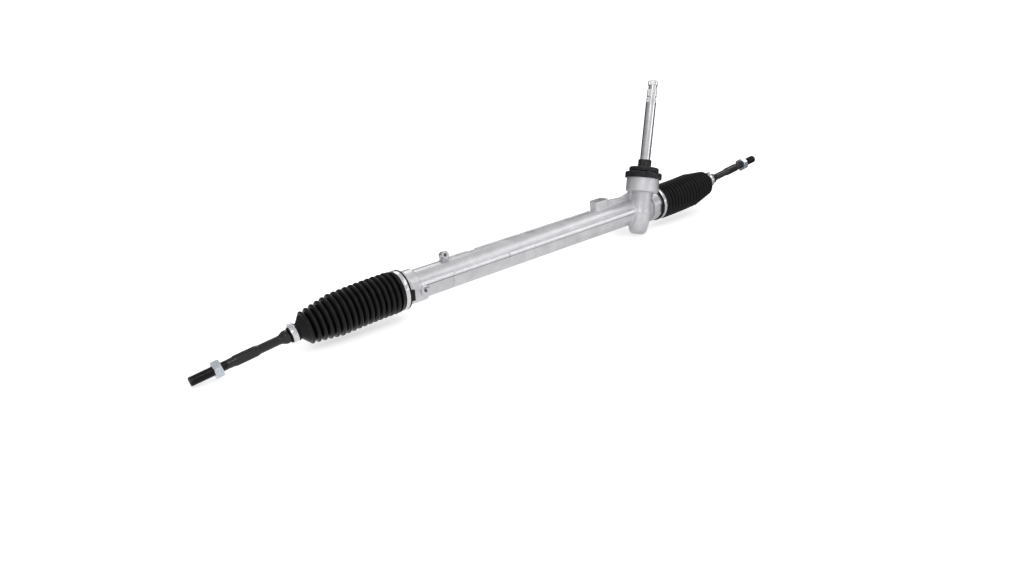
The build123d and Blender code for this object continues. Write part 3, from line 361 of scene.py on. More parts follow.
def castAluminium():
    material, tree, shader, place = newMaterial("castAluminium")
    look = castLook
    value = groupIn(tree, mottle, place, {"Broad Scale": look["broadScale"], "Fine Scale": look["fineScale"],
                                          "Fine Share": look["fineShare"]})
    colour = mixColours(tree, rangeNode(tree, value, 0.36, 0.64, 0.0, 1.0), look["dark"], look["light"])
    # machined: the pad's top, the turned collar beside the right boot, and the lugs' faces
    top = dotPlane(tree, place, Vector((0, 0, 0)), Vector((0, 0, 1)))
    alongX = splitAxis(tree, place, 0)
    padEdge = look["padHalf"] * mm
    nearPad = rangeNode(tree, mathNode(tree, "ABSOLUTE", alongX), padEdge,
                        padEdge + look["padEdge"] * mm, 1.0, 0.0)
    padMask = mathNode(tree, "MULTIPLY", rangeNode(tree, top, -0.0009, -0.0005, 0.0, 1.0), nearPad)
    collarLow, collarHigh = housingHigh.x - look["collarBack"] * mm, housingHigh.x - look["collarFront"] * mm
    edge = look["collarEdge"] * mm
    inCollar = mathNode(tree, "MULTIPLY", rangeNode(tree, alongX, collarLow, collarLow + edge, 0.0, 1.0),
                        rangeNode(tree, alongX, collarHigh, collarHigh + edge, 1.0, 0.0))
    machined = mathNode(tree, "MAXIMUM", padMask, inCollar)
    for name in ("upper_lug_hole", "lower_lug_hole"):
        axis = Vector(mounts[name]["axis"])
        reach = mounts[name]["dims"]["length_mm"] / 2 + look["lugFaceRise"]
        face = Vector(mounts[name]["pos_m"]) + axis * reach * mm
        lugFace = discMask(tree, place, face, axis, look["lugFace"] * mm)
        machined = mathNode(tree, "MAXIMUM", machined, lugFace)
    # the parting ledge along the front: a strip above it with lower roughness and a painted highlight in its
    # colour, and a painted shadow line under the ledge's step
    rise = mathNode(tree, "SUBTRACT", splitAxis(tree, place, 2), rackCentre.z)
    front = rangeNode(tree, mathNode(tree, "SUBTRACT", rackCentre.y, splitAxis(tree, place, 1)),
                      look["frontDepth"] * mm, (look["frontDepth"] + 1) * mm, 0.0, 1.0)
    run = between(tree, alongX, housingLow.x + look["runStart"] * mm, housingLow.x + look["runEnd"] * mm)
    onFront = mathNode(tree, "MULTIPLY", front, run)
    inLine = between(tree, rise, look["lineLow"] * mm, look["lineHigh"] * mm)
    # painted shadow: this band under the ledge is darkened in place of the step's own shadow
    paintedShadowLineMask = mathNode(tree, "MULTIPLY", onFront, inLine)
    inStrip = between(tree, rise, (look["lineHigh"] + look["stripGap"]) * mm, look["stripHigh"] * mm,
                      look["stripSoft"] * mm)
    smoothHighlightStripMask = mathNode(tree, "MULTIPLY", onFront, inStrip)
    # painted shade: dark bands across the strip at the ledge's steps, in place of the shade each step casts
    stepShadeMask = None
    for station, half, low in look["shadedSteps"]:
        middle = housingLow.x + station * mm
        there = between(tree, alongX, middle - half * mm, middle + half * mm)
        there = mathNode(tree, "MULTIPLY", there, between(tree, rise, low * mm, look["stripHigh"] * mm))
        there = mathNode(tree, "MULTIPLY", there, front)
        stepShadeMask = there if stepShadeMask is None else mathNode(tree, "MAXIMUM", stepShadeMask, there)
    rings = groupIn(tree, lathe, place, {"Axis": (1, 0, 0), "Pitch Scale": look["ringScale"]})
    colour = mixColours(tree, machined, colour, look["machined"])
    # painted highlight: the strip above the ledge is lightened towards near white; its lower roughness further
    # down is a real finish
    paintedHighlightAmount = mathNode(tree, "MULTIPLY", smoothHighlightStripMask, look["paintedHighlightShare"])
    colour = mixColours(tree, paintedHighlightAmount, colour, look["paintedHighlightColour"])
    stepShadeAmount = mathNode(tree, "MULTIPLY", stepShadeMask, look["stepShadeShare"])
    colour = mixColours(tree, stepShadeAmount, colour, look["stepShadeColour"])
    colour = mixColours(tree, paintedShadowLineMask, colour, look["paintedShadowLineColour"])
    rough = rangeNode(tree, value, 0.35, 0.65, look["roughLow"], look["roughHigh"])
    roughMix = tree.nodes.new("ShaderNodeMix")
    roughMix.data_type = "FLOAT"
    link(tree, machined, roughMix.inputs[0])
    link(tree, rough, roughMix.inputs[2])
    link(tree, rangeNode(tree, rings, 0.3, 0.7, look["ringLow"], look["ringHigh"]), roughMix.inputs[3])
    stripRough = tree.nodes.new("ShaderNodeMix")
    stripRough.data_type = "FLOAT"
    link(tree, smoothHighlightStripMask, stripRough.inputs[0])
    link(tree, roughMix.outputs[0], stripRough.inputs[2])
    stripRough.inputs[3].default_value = look["stripRough"]
    link(tree, colour, shader.inputs["Base Color"])
    link(tree, stripRough.outputs[0], shader.inputs["Roughness"])
    shader.inputs["Metallic"].default_value = look["metallic"]
    fine = noiseNode(tree, place, look["fineScale"], 2.0)
    keep = mathNode(tree, "SUBTRACT", 1.0, machined)
    grain = mathNode(tree, "MULTIPLY", fine.outputs["Fac"], keep)
    addBump(tree, shader, grain, look["grainShare"], look["grainDepth"])
    return material


# how broad and fine the patches are, the values they fade between, and their relief in metres
patchLooks = {
    "steel": {"scales": {"Broad Scale": 90.0, "Fine Scale": 1400.0, "Fine Share": 0.3},
              "fade": (0.38, 0.62), "metallic": 1.0, "bump": 0.35, "grain": 0.00002, "ringScale": 2500.0},
    "plate": {"scales": {"Broad Scale": 260.0, "Fine Scale": 2200.0, "Fine Share": 0.45},
              "fade": (0.36, 0.64), "metallic": 0.9, "bump": 0.25, "grain": 0.00005},
    "rubber": {"scales": {"Broad Scale": 70.0, "Fine Scale": 1800.0, "Fine Share": 0.5},
               "fade": (0.36, 0.64), "metallic": 0.0, "bump": 0.5, "grain": 0.00006},
    "coat": {"scales": {"Broad Scale": 130.0, "Fine Scale": 1300.0, "Fine Share": 0.35},
             "fade": (0.55, 0.75), "metallic": 0.0, "bump": 0.4, "grain": 0.00008},
}


def steel(name, dark, light, roughLow, roughHigh, axis):
    # turned or ground metal with faint rings about its own axis
    look = patchLooks["steel"]
    material, tree, shader, place = newMaterial(name)
    rings = groupIn(tree, lathe, place, {"Axis": tuple(axis), "Pitch Scale": look["ringScale"]})
    patches = groupIn(tree, mottle, place, look["scales"])
    both = mathNode(tree, "MULTIPLY", mathNode(tree, "ADD", rings, patches), 0.5)
    colour = mixColours(tree, rangeNode(tree, both, *look["fade"], 0.0, 1.0), dark, light)
    link(tree, colour, shader.inputs["Base Color"])
    link(tree, rangeNode(tree, both, 0.36, 0.64, roughLow, roughHigh), shader.inputs["Roughness"])
    shader.inputs["Metallic"].default_value = look["metallic"]
    addBump(tree, shader, rings, look["bump"], look["grain"])
    return material


def patchy(name, kind, dark, light, roughLow, roughHigh, shine=0.5):
    # plate, rubber and coat: soft patches in colour and in roughness
    look = patchLooks[kind]
    material, tree, shader, place = newMaterial(name)
    value = groupIn(tree, mottle, place, look["scales"])
    colour = mixColours(tree, rangeNode(tree, value, *look["fade"], 0.0, 1.0), dark, light)
    link(tree, colour, shader.inputs["Base Color"])
    link(tree, rangeNode(tree, value, 0.35, 0.65, roughLow, roughHigh), shader.inputs["Roughness"])
    shader.inputs["Metallic"].default_value = look["metallic"]
    shader.inputs["Specular IOR Level"].default_value = shine
    addBump(tree, shader, value, look["bump"], look["grain"])
    return material


looks = {
    "cast_aluminium": castAluminium(),
    "ground_steel": steel("groundSteel", (0.50, 0.50, 0.51, 1), (0.72, 0.72, 0.73, 1), 0.10, 0.20,
                          pinionDir),
    "bearing_steel": steel("bearingSteel", (0.60, 0.60, 0.62, 1), (0.74, 0.74, 0.76, 1), 0.12, 0.22,
                           pinionDir),
    "spring_steel": steel("springSteel", (0.20, 0.20, 0.21, 1), (0.34, 0.34, 0.35, 1), 0.3, 0.45,
                          (0, 1, 0)),
    "zinc_plate": patchy("zincPlate", "plate", (0.46, 0.50, 0.55, 1), (0.66, 0.70, 0.75, 1), 0.18, 0.32),
    "clamp_steel": patchy("clampZinc", "plate", (0.60, 0.61, 0.63, 1), (0.78, 0.79, 0.81, 1), 0.20, 0.34),
    "black_steel": patchy("blackCoat", "coat", (0.003, 0.003, 0.0035, 1), (0.009, 0.009, 0.010, 1),
                          0.10, 0.20),
    "yoke_aluminium": steel("turnedAluminium", (0.58, 0.59, 0.61, 1), (0.72, 0.73, 0.75, 1), 0.22, 0.36,
                            (0, 1, 0)),
    "boot_rubber": patchy("bootRubber", "rubber", (0.003, 0.003, 0.0035, 1), (0.008, 0.008, 0.0085, 1),
                          0.28, 0.42, shine=0.2),
    "seal_rubber": patchy("sealRubber", "rubber", (0.02, 0.02, 0.02, 1), (0.035, 0.035, 0.035, 1),
                          0.5, 0.65, shine=0.45),
    "cap_plastic": patchy("capPlastic", "rubber", (0.006, 0.006, 0.008, 1), (0.015, 0.015, 0.018, 1),
                          0.20, 0.34, shine=0.3),
    "bushing_plastic": patchy("bushingPlastic", "rubber", (0.70, 0.68, 0.60, 1), (0.80, 0.78, 0.71, 1),
                              0.4, 0.55, shine=0.45),
}
slotOf = {s["node"]: s["material_slot"] for s in frame["record"]["subparts"]}
for nodeName, node in nodes.items():
    node.data.materials.clear()
    node.data.materials.append(looks[slotOf[nodeName]])
print("materials made:", len(looks))

# ---- housing: the casting, with its edges rounded as a casting's are ----

castValues = {
    "voxel": 0.85 * mm, "quickShare": 2.5, "smoothFactor": 0.5, "smoothSteps": 2, "mostTriangles": 190000,
}


def modifiersApplied(piece):
    shaped = piece.evaluated_get(bpy.context.evaluated_depsgraph_get())
    result = bpy.data.meshes.new_from_object(shaped)
    piece.modifiers.clear()
    piece.data = result
    return result


def makeCasting():
    v = castValues
    bm = bmesh.new()
    bm.from_mesh(nodes["rack_housing"].data)
    bmesh.ops.remove_doubles(bm, verts=bm.verts[:], dist=0.001 * mm)
    casting = pieceFrom(bm, "castHousing", looks["cast_aluminium"], 180)
    remesh = casting.modifiers.new("voxels", "REMESH")
    remesh.mode = "VOXEL"
    remesh.voxel_size = v["voxel"] * 1
    remesh.use_smooth_shade = True
    soften = casting.modifiers.new("soften", "SMOOTH")
    soften.factor = v["smoothFactor"]
    soften.iterations = v["smoothSteps"]
    bpy.context.view_layer.update()
    result = modifiersApplied(casting)
    triangles = sum(len(p.vertices) - 2 for p in result.polygons)
    print("casting remeshed:", triangles, "triangles")
    if triangles > v["mostTriangles"]:
        thin = casting.modifiers.new("thin", "DECIMATE")
        thin.ratio = v["mostTriangles"] / triangles
        result = modifiersApplied(casting)
    result.shade_smooth()
    result.materials.clear()
    result.materials.append(looks["cast_aluminium"])
    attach(casting, "housing")
    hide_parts("rack_housing")


makeCasting()
print("casting made")

# ---- tie rods: forged shank, flats for a spanner, rolled thread ----

rodValues = {
    "ball": 12.0, "neck": 5.4, "neckEnd": 19.0, "shank": 6.25, "seatLength": 12.0, "seat": 8.0,
    "flare": 9.5, "flareLength": 13.0, "flareFlats": 16.0,
    "gripStart": 135.0, "gripLength": 29.0, "grip": 7.4, "gripFlats": 12.6,
    "waist": 6.4, "waistLength": 10.0, "tip": 223.0, "chamfer": 1.6, "roundings": 1.4,
    "neckStart": 1.5, "neckFoot": (0.3, 0.4), "ramp": 4.0, "lead": 2.0, "flareStep": 1.0,
    "threadRadius": 7.0, "innerThread": 6.58, "fullThread": 192.0, "threadRoot": 6.1, "threadPitch": 1.5,
    "threadLead": 0.4, "threadSink": 0.15, "ringStep": 1.5, "steps": 64,
    # one thread turn: share of the pitch, and 1 on the crest
    "threadTurn": [(0.0, 0), (0.38, 1), (0.50, 1), (0.88, 0), (1.0, 0)],
}
nutValues = {
    "reach": 186.0, "height": 11.0, "flats": 22.0, "bore": 6.62, "faceShare": 0.2, "sideShare": 0.7,
    "dish": 0.35, "dishRim": 0.7, "mouth": 0.9, "mouthDepth": 1.2, "backDepth": 0.8, "steps": 96,
}


def flattened(bm, start, end, flats, ramp=1.5, rise=3):
    # presses two flats into a turned piece that still lies along X
    half = flats / 2 * mm
    for vert in bm.verts:
        along = vert.co.x / mm
        if start - ramp < along < end + ramp:
            depth = max(0.0, start - along, along - end) / ramp
            limit = half + depth * rise * mm
            vert.co.z = max(-limit, min(limit, vert.co.z))


def threadTurns(start, end, crest, root, pitch, steps=40):
    # one turn's profile swept as a screw
    turn = rodValues["threadTurn"]
    bm = outlineOf([(start + pitch * share, crest if high else root) for share, high in turn])
    turns = int((end - start) / pitch)
    bmesh.ops.spin(bm, geom=bm.verts[:] + bm.edges[:], cent=(0, 0, 0), axis=(1, 0, 0),
                   angle=2 * math.pi * turns, steps=steps * turns, use_merge=False,
                   dvec=(pitch * mm / steps, 0, 0))
    bmesh.ops.remove_doubles(bm, verts=bm.verts[:], dist=0.01 * mm)
    bmesh.ops.recalc_face_normals(bm, faces=bm.faces[:])
    return bm


def makeRod(name, origin, rodDir, up, seatStart, stretch):
    v = rodValues
    seatEnd = seatStart + v["seatLength"]
    gripStart = v["gripStart"] + stretch / 2
    gripEnd = gripStart + v["gripLength"]
    threadStart = gripEnd + v["waistLength"]
    tip = v["tip"] + stretch
    ramp, lead = v["ramp"], v["lead"]
    arc = [(-v["ball"] * math.cos(math.radians(a)), v["ball"] * math.sin(math.radians(a)))
           for a in range(0, 150, 10)]
    outline = arc + rounded([
        (arc[-1][0] + v["neckFoot"][0], v["neck"] + v["neckFoot"][1]),
        (v["ball"] + v["neckStart"], v["neck"]), (v["neckEnd"], v["neck"]),
        (v["neckEnd"] + ramp, v["shank"]), (seatStart - ramp, v["shank"]), (seatStart, v["seat"]),
        (seatEnd, v["seat"]), (seatEnd + v["flareStep"], v["flare"]),
        (seatEnd + v["flareLength"] / 2, v["flare"]), (seatEnd + v["flareLength"], v["shank"]),
        (gripStart - ramp, v["shank"]), (gripStart, v["grip"]), (gripEnd, v["grip"]),
        (gripEnd + ramp, v["waist"]), (threadStart - lead, v["waist"]), (threadStart, v["threadRoot"]),
        (tip - v["chamfer"] * 0.6, v["threadRoot"]), (tip, v["threadRadius"] - v["chamfer"]),
        (tip, 0)], v["roundings"])
    # more rings where the flats are pressed in
    dense = []
    for a, b in zip(outline, outline[1:]):
        pressed = seatEnd - lead < a[0] < gripEnd + ramp
        count = max(1, int(abs(b[0] - a[0]) / v["ringStep"])) if pressed else 1
        dense += stepped(a, b, count)
    dense.append(outline[-1])
    bm = turned(dense, v["steps"])
    flattened(bm, seatEnd + v["flareStep"], seatEnd + v["flareLength"] - lead, v["flareFlats"])
    flattened(bm, gripStart + v["flareStep"], gripEnd - v["flareStep"], v["gripFlats"])
    thread = threadTurns(threadStart + v["threadLead"], tip - v["chamfer"], v["threadRadius"],
                         v["threadRoot"] - v["threadSink"], v["threadPitch"])
    # a hair slimmer where the nut sits
    for vert in thread.verts:
        radius = math.hypot(vert.co.y, vert.co.z)
        if vert.co.x < (v["fullThread"] + stretch) * mm and radius > v["innerThread"] * mm:
            vert.co.y *= v["innerThread"] * mm / radius
            vert.co.z *= v["innerThread"] * mm / radius
    joined(bm, thread)
    placeAlong(bm, origin, rodDir, up)
    return pieceFrom(bm, name, looks["black_steel"], 30)


def makeNut(name, origin, along, up, reach):
    v = nutValues
    flats, bore = v["flats"], v["bore"]
    corners = flats / math.cos(math.radians(30))
    corner = (corners - flats) / 2
    start, end = reach - v["height"] / 2, reach + v["height"] / 2
    face = flats / 2 - corner * v["faceShare"]
    top = corners / 2 + corner * v["faceShare"]
    lean = corner * v["sideShare"]
    dished = end - v["dish"]
    outline = [(start, bore), (start, face), (start + lean, top), (end - lean, top), (end, face),
               (dished, face - v["dishRim"]), (dished, bore + v["mouth"]), (end - v["mouthDepth"], bore),
               (start + v["backDepth"], bore)]
    rows = []
    for a, b in zip(outline, outline[1:] + outline[:1]):
        count = 6 if abs(a[1] - b[1]) > 1.5 and min(a[1], b[1]) > face - 0.1 else 1
        rows += stepped(a, b, count)
    bm = turned(rows, v["steps"], True)
    # the six flats cut the turned blank
    for vert in bm.verts:
        radius = math.hypot(vert.co.y, vert.co.z)
        angle = math.atan2(vert.co.y, vert.co.z)
        around = (angle + math.radians(30)) % math.radians(60) - math.radians(30)
        limit = flats / 2 * mm / math.cos(around)
        if radius > limit:
            vert.co.y *= limit / radius
            vert.co.z *= limit / radius
    bmesh.ops.remove_doubles(bm, verts=bm.verts[:], dist=0.005 * mm)
    placeAlong(bm, origin, along, up)
    return pieceFrom(bm, name, looks["zinc_plate"], 25)


# ---- boots: thin bellows on a bent middle line ----

bootValues = {
    "cuffRadius": 29.2, "cuffLength": 12.0, "cuffInset": 1.6,
    "lipRadius": 30.2, "lipLength": 3.2, "lipRound": 0.8,
    "crest": 31.2, "smallCrest": 24.0, "growing": 5, "folds": 16, "depth": 6.6, "foldShape": 0.72,
    "wall": 1.2,
    "shoulder": 3.0, "shoulderRows": [(0.4, 1.2), (1.0, 0.6)],
    "coneLength": 10.0, "coneGap": 0.5, "coneTop": [(0.0, 20.5), (1.5, 19.9)], "coneFoot": [(-2.5, 12.6)],
    "neckLength": 12.5, "neckRadius": 11.0, "neckRound": 0.6,
    "neckLip": 12.2, "neckLipLength": 3.0, "neckLipRows": [(0.2, 0.4), (0.8, 0.0)],
    "foldSamples": 12, "rootPlace": 0.18, "slideFolds": 9.75, "steerFolds": 11.75, "turnLength": 26.0,
    "seamSlack": 0.01, "steps": 96,
}


def foldRows(span):
    # (along, radius) rows of the bellows between the cuff and the neck
    v = bootValues
    coneStart = span - v["coneLength"]
    pitch = (coneStart - v["shoulder"]) / v["folds"]
    rows = [(0.0, v["cuffRadius"])]
    rows += [(v["shoulder"] * share, v["crest"] - drop) for share, drop in v["shoulderRows"]]
    for fold in range(v["folds"]):
        growth = min(1.0, (v["folds"] - 1 - fold) / v["growing"])
        crest = v["smallCrest"] + (v["crest"] - v["smallCrest"]) * growth
        start = v["shoulder"] + (fold + v["rootPlace"]) * pitch
        for sample in range(v["foldSamples"]):
            share = sample / v["foldSamples"]
            swing = math.sin(math.pi * share) ** v["foldShape"]
            if start + share * pitch < coneStart - v["coneGap"]:
                rows.append((start + share * pitch, crest - v["depth"] * (1 - swing)))
    rows += [(coneStart + along, radius) for along, radius in v["coneTop"]]
    rows += [(span + along, radius) for along, radius in v["coneFoot"]]
    rows.append((span, v["neckRadius"]))
    return rows, pitch


def makeBoot(side, ball, rodDir, cuffX, neckReach, collarRadius):
    v = bootValues
    axial = Vector((1 if side == "right" else -1, 0, 0))
    cuffPoint = Vector((cuffX, rackCentre.y, rackCentre.z))
    neckPoint = ball + rodDir * neckReach * mm
    span = (neckPoint - cuffPoint).length / mm
    rows, pitch = foldRows(span)

    def seat(along, radius, angle):
        # a point on the bent middle line, and out from it
        part = max(0.0, min(1.0, along / span))
        keep = 2 * part ** 3 - 3 * part ** 2 + 1
        leave, arrive = part ** 3 - 2 * part ** 2 + part, part ** 3 - part ** 2
        point = cuffPoint * keep + neckPoint * (1 - keep) + (axial * leave + rodDir * arrive) * span * mm
        turning = 6 * part - 6 * part ** 2
        heading = ((neckPoint - cuffPoint) * turning + axial * span * mm * (3 * part ** 2 - 4 * part + 1)
                   + rodDir * span * mm * (3 * part ** 2 - 2 * part)).normalized()
        point = point + heading * (along - part * span) * mm
        level = Vector((0, 0, 1)).cross(heading).normalized()
        up = heading.cross(level)
        return point + (level * math.cos(angle) + up * math.sin(angle)) * radius

    seamA = v["shoulder"] + (v["slideFolds"] + v["rootPlace"]) * pitch
    seamB = v["shoulder"] + (v["steerFolds"] + v["rootPlace"]) * pitch
    slack = v["seamSlack"]
    cuffStart, lip, lipRound = -v["cuffLength"], v["lipRadius"], v["lipRound"]
    lipEnd = cuffStart + v["lipLength"]
    cuff = [(cuffStart, v["cuffRadius"]), (cuffStart, lip - lipRound), (cuffStart + lipRound, lip),
            (lipEnd - lipRound, lip), (lipEnd, v["cuffRadius"]), (-v["cuffInset"], v["cuffRadius"])]
    neckEnd, neckRound = span + v["neckLength"], v["neckRound"]
    neckLipEnd = span + v["neckLipLength"]
    neck = [(span + along, v["neckLip"] - drop) for along, drop in v["neckLipRows"]]
    neck += [(neckLipEnd - neckRound, v["neckLip"]), (neckLipEnd, v["neckRadius"]),
             (neckEnd - neckRound, v["neckRadius"]), (neckEnd, v["neckRadius"] - neckRound)]
    slideRows = [r for r in rows if r[0] <= seamA + slack]
    steerRows = [r for r in rows if seamA - slack <= r[0] <= seamB + slack]
    neckRows = [r for r in rows if r[0] >= seamB - slack]
    parts = [
        ("Bellows", cuff + slideRows, ("housing", "rack"), (0.0, seamA)),
        ("BootSteer", steerRows, ("rack", side + "_seat"), (seamA, seamB)),
        ("BootNeck", neckRows + neck, (side + "_seat", side + "_rod"), (seamB, span)),
    ]
    for label, outline, bodies, (startAlong, endAlong) in parts:
        bm = turned(outline, v["steps"])
        for vert in bm.verts:
            along = vert.co.x / mm
            radius = math.hypot(vert.co.y, vert.co.z)
            angle = math.atan2(vert.co.z, vert.co.y)
            vert.co = seat(along, radius, angle)
        bmesh.ops.recalc_face_normals(bm, faces=bm.faces[:])
        # normals point away from the middle line
        middle = seat((startAlong + endAlong) / 2, 0, 0)
        around = [f for f in bm.faces if abs((f.calc_center_median() - middle).dot(rodDir)) < 4 * mm]
        if sum((f.calc_center_median() - middle).dot(f.normal) * f.calc_area() for f in around) < 0:
            bmesh.ops.reverse_faces(bm, faces=bm.faces[:])
        if label == "Bellows":
            joined(bm, cuffTab(side, cuffX, collarRadius))
        piece = pieceFrom(bm, side + label, looks["boot_rubber"], 50)
        wall = piece.modifiers.new("wall", "SOLIDIFY")
        wall.thickness = v["wall"] * mm
        wall.offset = -1
        # the bend starts and ends clear of the slanted rings at both seams
        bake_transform(piece)
        if label == "Bellows":
            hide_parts(side + "_boot")


tabValues = {
    "angle": -5.0, "width": 17.0, "length": 4.5, "height": 3.0, "gap": 0.35, "round": 0.6, "top": 29.0,
    "sunk": 0.5,
}


def cuffTab(side, cuffX, collarRadius):
    # the locating tab that reaches over the housing's collar
    v = tabValues
    sign = 1 if side == "right" else -1
    base = collarRadius + v["gap"]
    bm = bmesh.new()
    bmesh.ops.create_cube(bm, size=1.0)
    long, tall = v["length"] + 2 * v["sunk"], v["height"]
    bmesh.ops.scale(bm, vec=(long * mm, v["width"] * mm, tall * mm), verts=bm.verts[:])
    bmesh.ops.bevel(bm, geom=bm.edges[:], offset=v["round"] * mm, segments=2, affect="EDGES", profile=0.5,
                    material=-1)
    centreX = cuffX - sign * (bootValues["cuffLength"] + v["length"] / 2 - v["sunk"]) * mm
    angle = math.radians(v["angle"])
    out = Vector((0, -math.cos(angle), math.sin(angle)))
    turn = Matrix((Vector((1, 0, 0)), out.cross(Vector((1, 0, 0))), out)).transposed().to_4x4()
    height = max(base + tall / 2, v["top"] - tall / 2)
    centre = Vector((centreX, rackCentre.y, rackCentre.z)) + out * height * mm
    bmesh.ops.transform(bm, matrix=Matrix.Translation(centre) @ turn, verts=bm.verts[:])
    return bm


# ---- clamps: crimped bands ----

clampValues = {
    "thick": 0.9, "edge": 0.25, "steps": 128,
    "lapAngle": 52.0, "lapSteps": 18, "lapInset": 0.3, "lapLow": 0.5, "lapRise": 0.55,
    "ear": 4.6, "earWidth": 6.5, "earWall": 1.0, "earFoot": 0.4, "earRound": 1.2,
    # half the ear's outline: share of its half width (and how far beyond), height over foot or under top
    "earLow": [(1.0, 2.2, 0.0), (0.55, 0.0, 0.5), (0.45, 0.0, 1.6)], "earHigh": [(1.0, 1.8), (0.8, 0.5)],
}


def makeClamp(name, origin, along, out, radius, width, body):
    v = clampValues
    half = width / 2
    outer = radius + v["thick"]
    band = rounded([(-half, radius), (-half, outer), (half, outer), (half, radius)], v["edge"], 2)
    bm = turned(band, v["steps"], True)
    # second layer where the band laps over itself
    side, low, high = half - v["lapInset"], radius + v["lapLow"], outer + v["lapRise"]
    lap = outlineOf(rounded([(-side, low), (-side, high), (side, high), (side, low)], v["edge"], 2), True)
    lapFace = bmesh.ops.contextual_create(lap, geom=lap.edges[:])["faces"]
    bmesh.ops.spin(lap, geom=lapFace + lap.edges[:] + lap.verts[:], cent=(0, 0, 0), axis=(1, 0, 0),
                   angle=math.radians(v["lapAngle"]), steps=v["lapSteps"], use_merge=False, dvec=(0, 0, 0))
    bmesh.ops.recalc_face_normals(lap, faces=lap.faces[:])
    joined(bm, lap)
    # pinched ear: a strip bent into a loop
    top = outer + v["ear"]
    foot = radius + v["thick"] * v["earFoot"]
    reach = v["earWidth"] / 2
    rising = [(reach * share + beyond, foot + rise) for share, beyond, rise in v["earLow"]]
    rising += [(reach * share, top - drop) for share, drop in v["earHigh"]]
    strip = [(-y, z) for y, z in rising] + [(0, top)] + rising[::-1]
    ear = bmesh.new()
    verts = [ear.verts.new((-half * mm, y * mm, z * mm)) for y, z in rounded(strip, v["earRound"], 3)]
    edges = [ear.edges.new(pair) for pair in zip(verts, verts[1:])]
    grown = bmesh.ops.extrude_edge_only(ear, edges=edges)["geom"]
    farSide = [g for g in grown if isinstance(g, bmesh.types.BMVert)]
    bmesh.ops.translate(ear, vec=(width * mm, 0, 0), verts=farSide)
    bmesh.ops.recalc_face_normals(ear, faces=ear.faces[:])
    bmesh.ops.solidify(ear, geom=ear.faces[:], thickness=v["earWall"] * mm)
    bmesh.ops.recalc_face_normals(ear, faces=ear.faces[:])
    joined(bm, ear)
    placeAlong(bm, origin, along, out)
    piece = pieceFrom(bm, name, looks["clamp_steel"], 30)
    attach(piece, body)
    return piece


# ---- the two ends: rod, nut, boot and clamps ----

endValues = {
    "cuffEnd": 281.0, "housingHalf": 280.0, "neckGap": 0.35,
    "largeWidth": 6.4, "largeGap": 0.02, "smallWidth": 7.6, "smallGap": 0.1,
    "leftCollar": 27.0, "leftSeat": 79.0, "leftStretch": 5.0,
    "rightCollar": 28.5, "rightSeat": 74.0, "rightStretch": 0.0,
}

for side, sign in (("left", -1), ("right", 1)):
    ball = Vector(joints[side + "_rod_yaw"]["pos_m"])
    thread = mounts[side + "_rod_thread"]
    rodDir = (Vector(thread["pos_m"]) - ball).normalized()
    levelDir = Vector((0, 0, 1)).cross(rodDir).normalized()
    upDir = rodDir.cross(levelDir)
    seatStart = endValues[side + "Seat"]
    stretch = endValues[side + "Stretch"]
    rod = makeRod(side + "TieRod", ball, rodDir, levelDir, seatStart, stretch)
    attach(rod, side + "_rod")
    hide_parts(side + "_tie_rod")
    nut = makeNut(side + "JamNut", ball, rodDir, levelDir, nutValues["reach"] + stretch)
    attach(nut, side + "_rod")
    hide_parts(side + "_jam_nut")
    beyond = endValues["cuffEnd"] - endValues["housingHalf"]
    cuffX = (housingLow.x if sign < 0 else housingHigh.x) + sign * beyond * mm
    neckReach = seatStart + rodValues["seatLength"] - endValues["neckGap"] - bootValues["neckLength"]
    makeBoot(side, ball, rodDir, cuffX, neckReach, endValues[side + "Collar"])
    inset = bootValues["cuffLength"] - bootValues["lipLength"] - endValues["largeWidth"] / 2
    bandPoint = Vector((cuffX - sign * inset * mm, rackCentre.y, rackCentre.z))
    large = makeClamp(side + "LargeClamp", bandPoint, Vector((sign, 0, 0)), Vector((0, 1, 0)),
                      bootValues["cuffRadius"] + endValues["largeGap"], endValues["largeWidth"], "housing")
    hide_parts(side + "_large_clamp")
    smallReach = neckReach + bootValues["neckLipLength"] + endValues["smallWidth"] / 2
    small = makeClamp(side + "SmallClamp", ball + rodDir * smallReach * mm, rodDir, upDir,
                      bootValues["neckRadius"] + endValues["smallGap"], endValues["smallWidth"],
                      side + "_rod")
    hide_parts(side + "_small_clamp")
    print(side, "end made")

# ---- cap over the pinion's seal: notched flange, stepped tier and fluted neck ----

capValues = {
    "outline": [
        (57.0, 28.75), (57.0, 32.4), (66.3, 32.4), (67.5, 31.0), (67.5, 26.0), (68.4, 24.8), (69.6, 26.1),
        (74.7, 26.1), (76.9, 23.6), (76.9, 12.8), (78.0, 11.7), (90.2, 11.7), (90.2, 9.45), (88.0, 9.45),
        (88.0, 10.2), (75.0, 10.2), (75.0, 23.6), (61.4, 23.6), (61.4, 26.3), (59.05, 26.3), (59.05, 28.75)],
    "rounding": 0.7, "steps": 240, "notches": 8, "flange": 31.3, "flangeHalf": 6.2, "flangeFrom": 30.0,
    "tier": 25.0, "tierHalf": 5.0, "tierFrom": 25.2, "tierFoot": 68.5,
    "flutes": 18, "fluteDepth": 0.45, "neckFrom": 78.0, "neckRadius": 11.0,
}


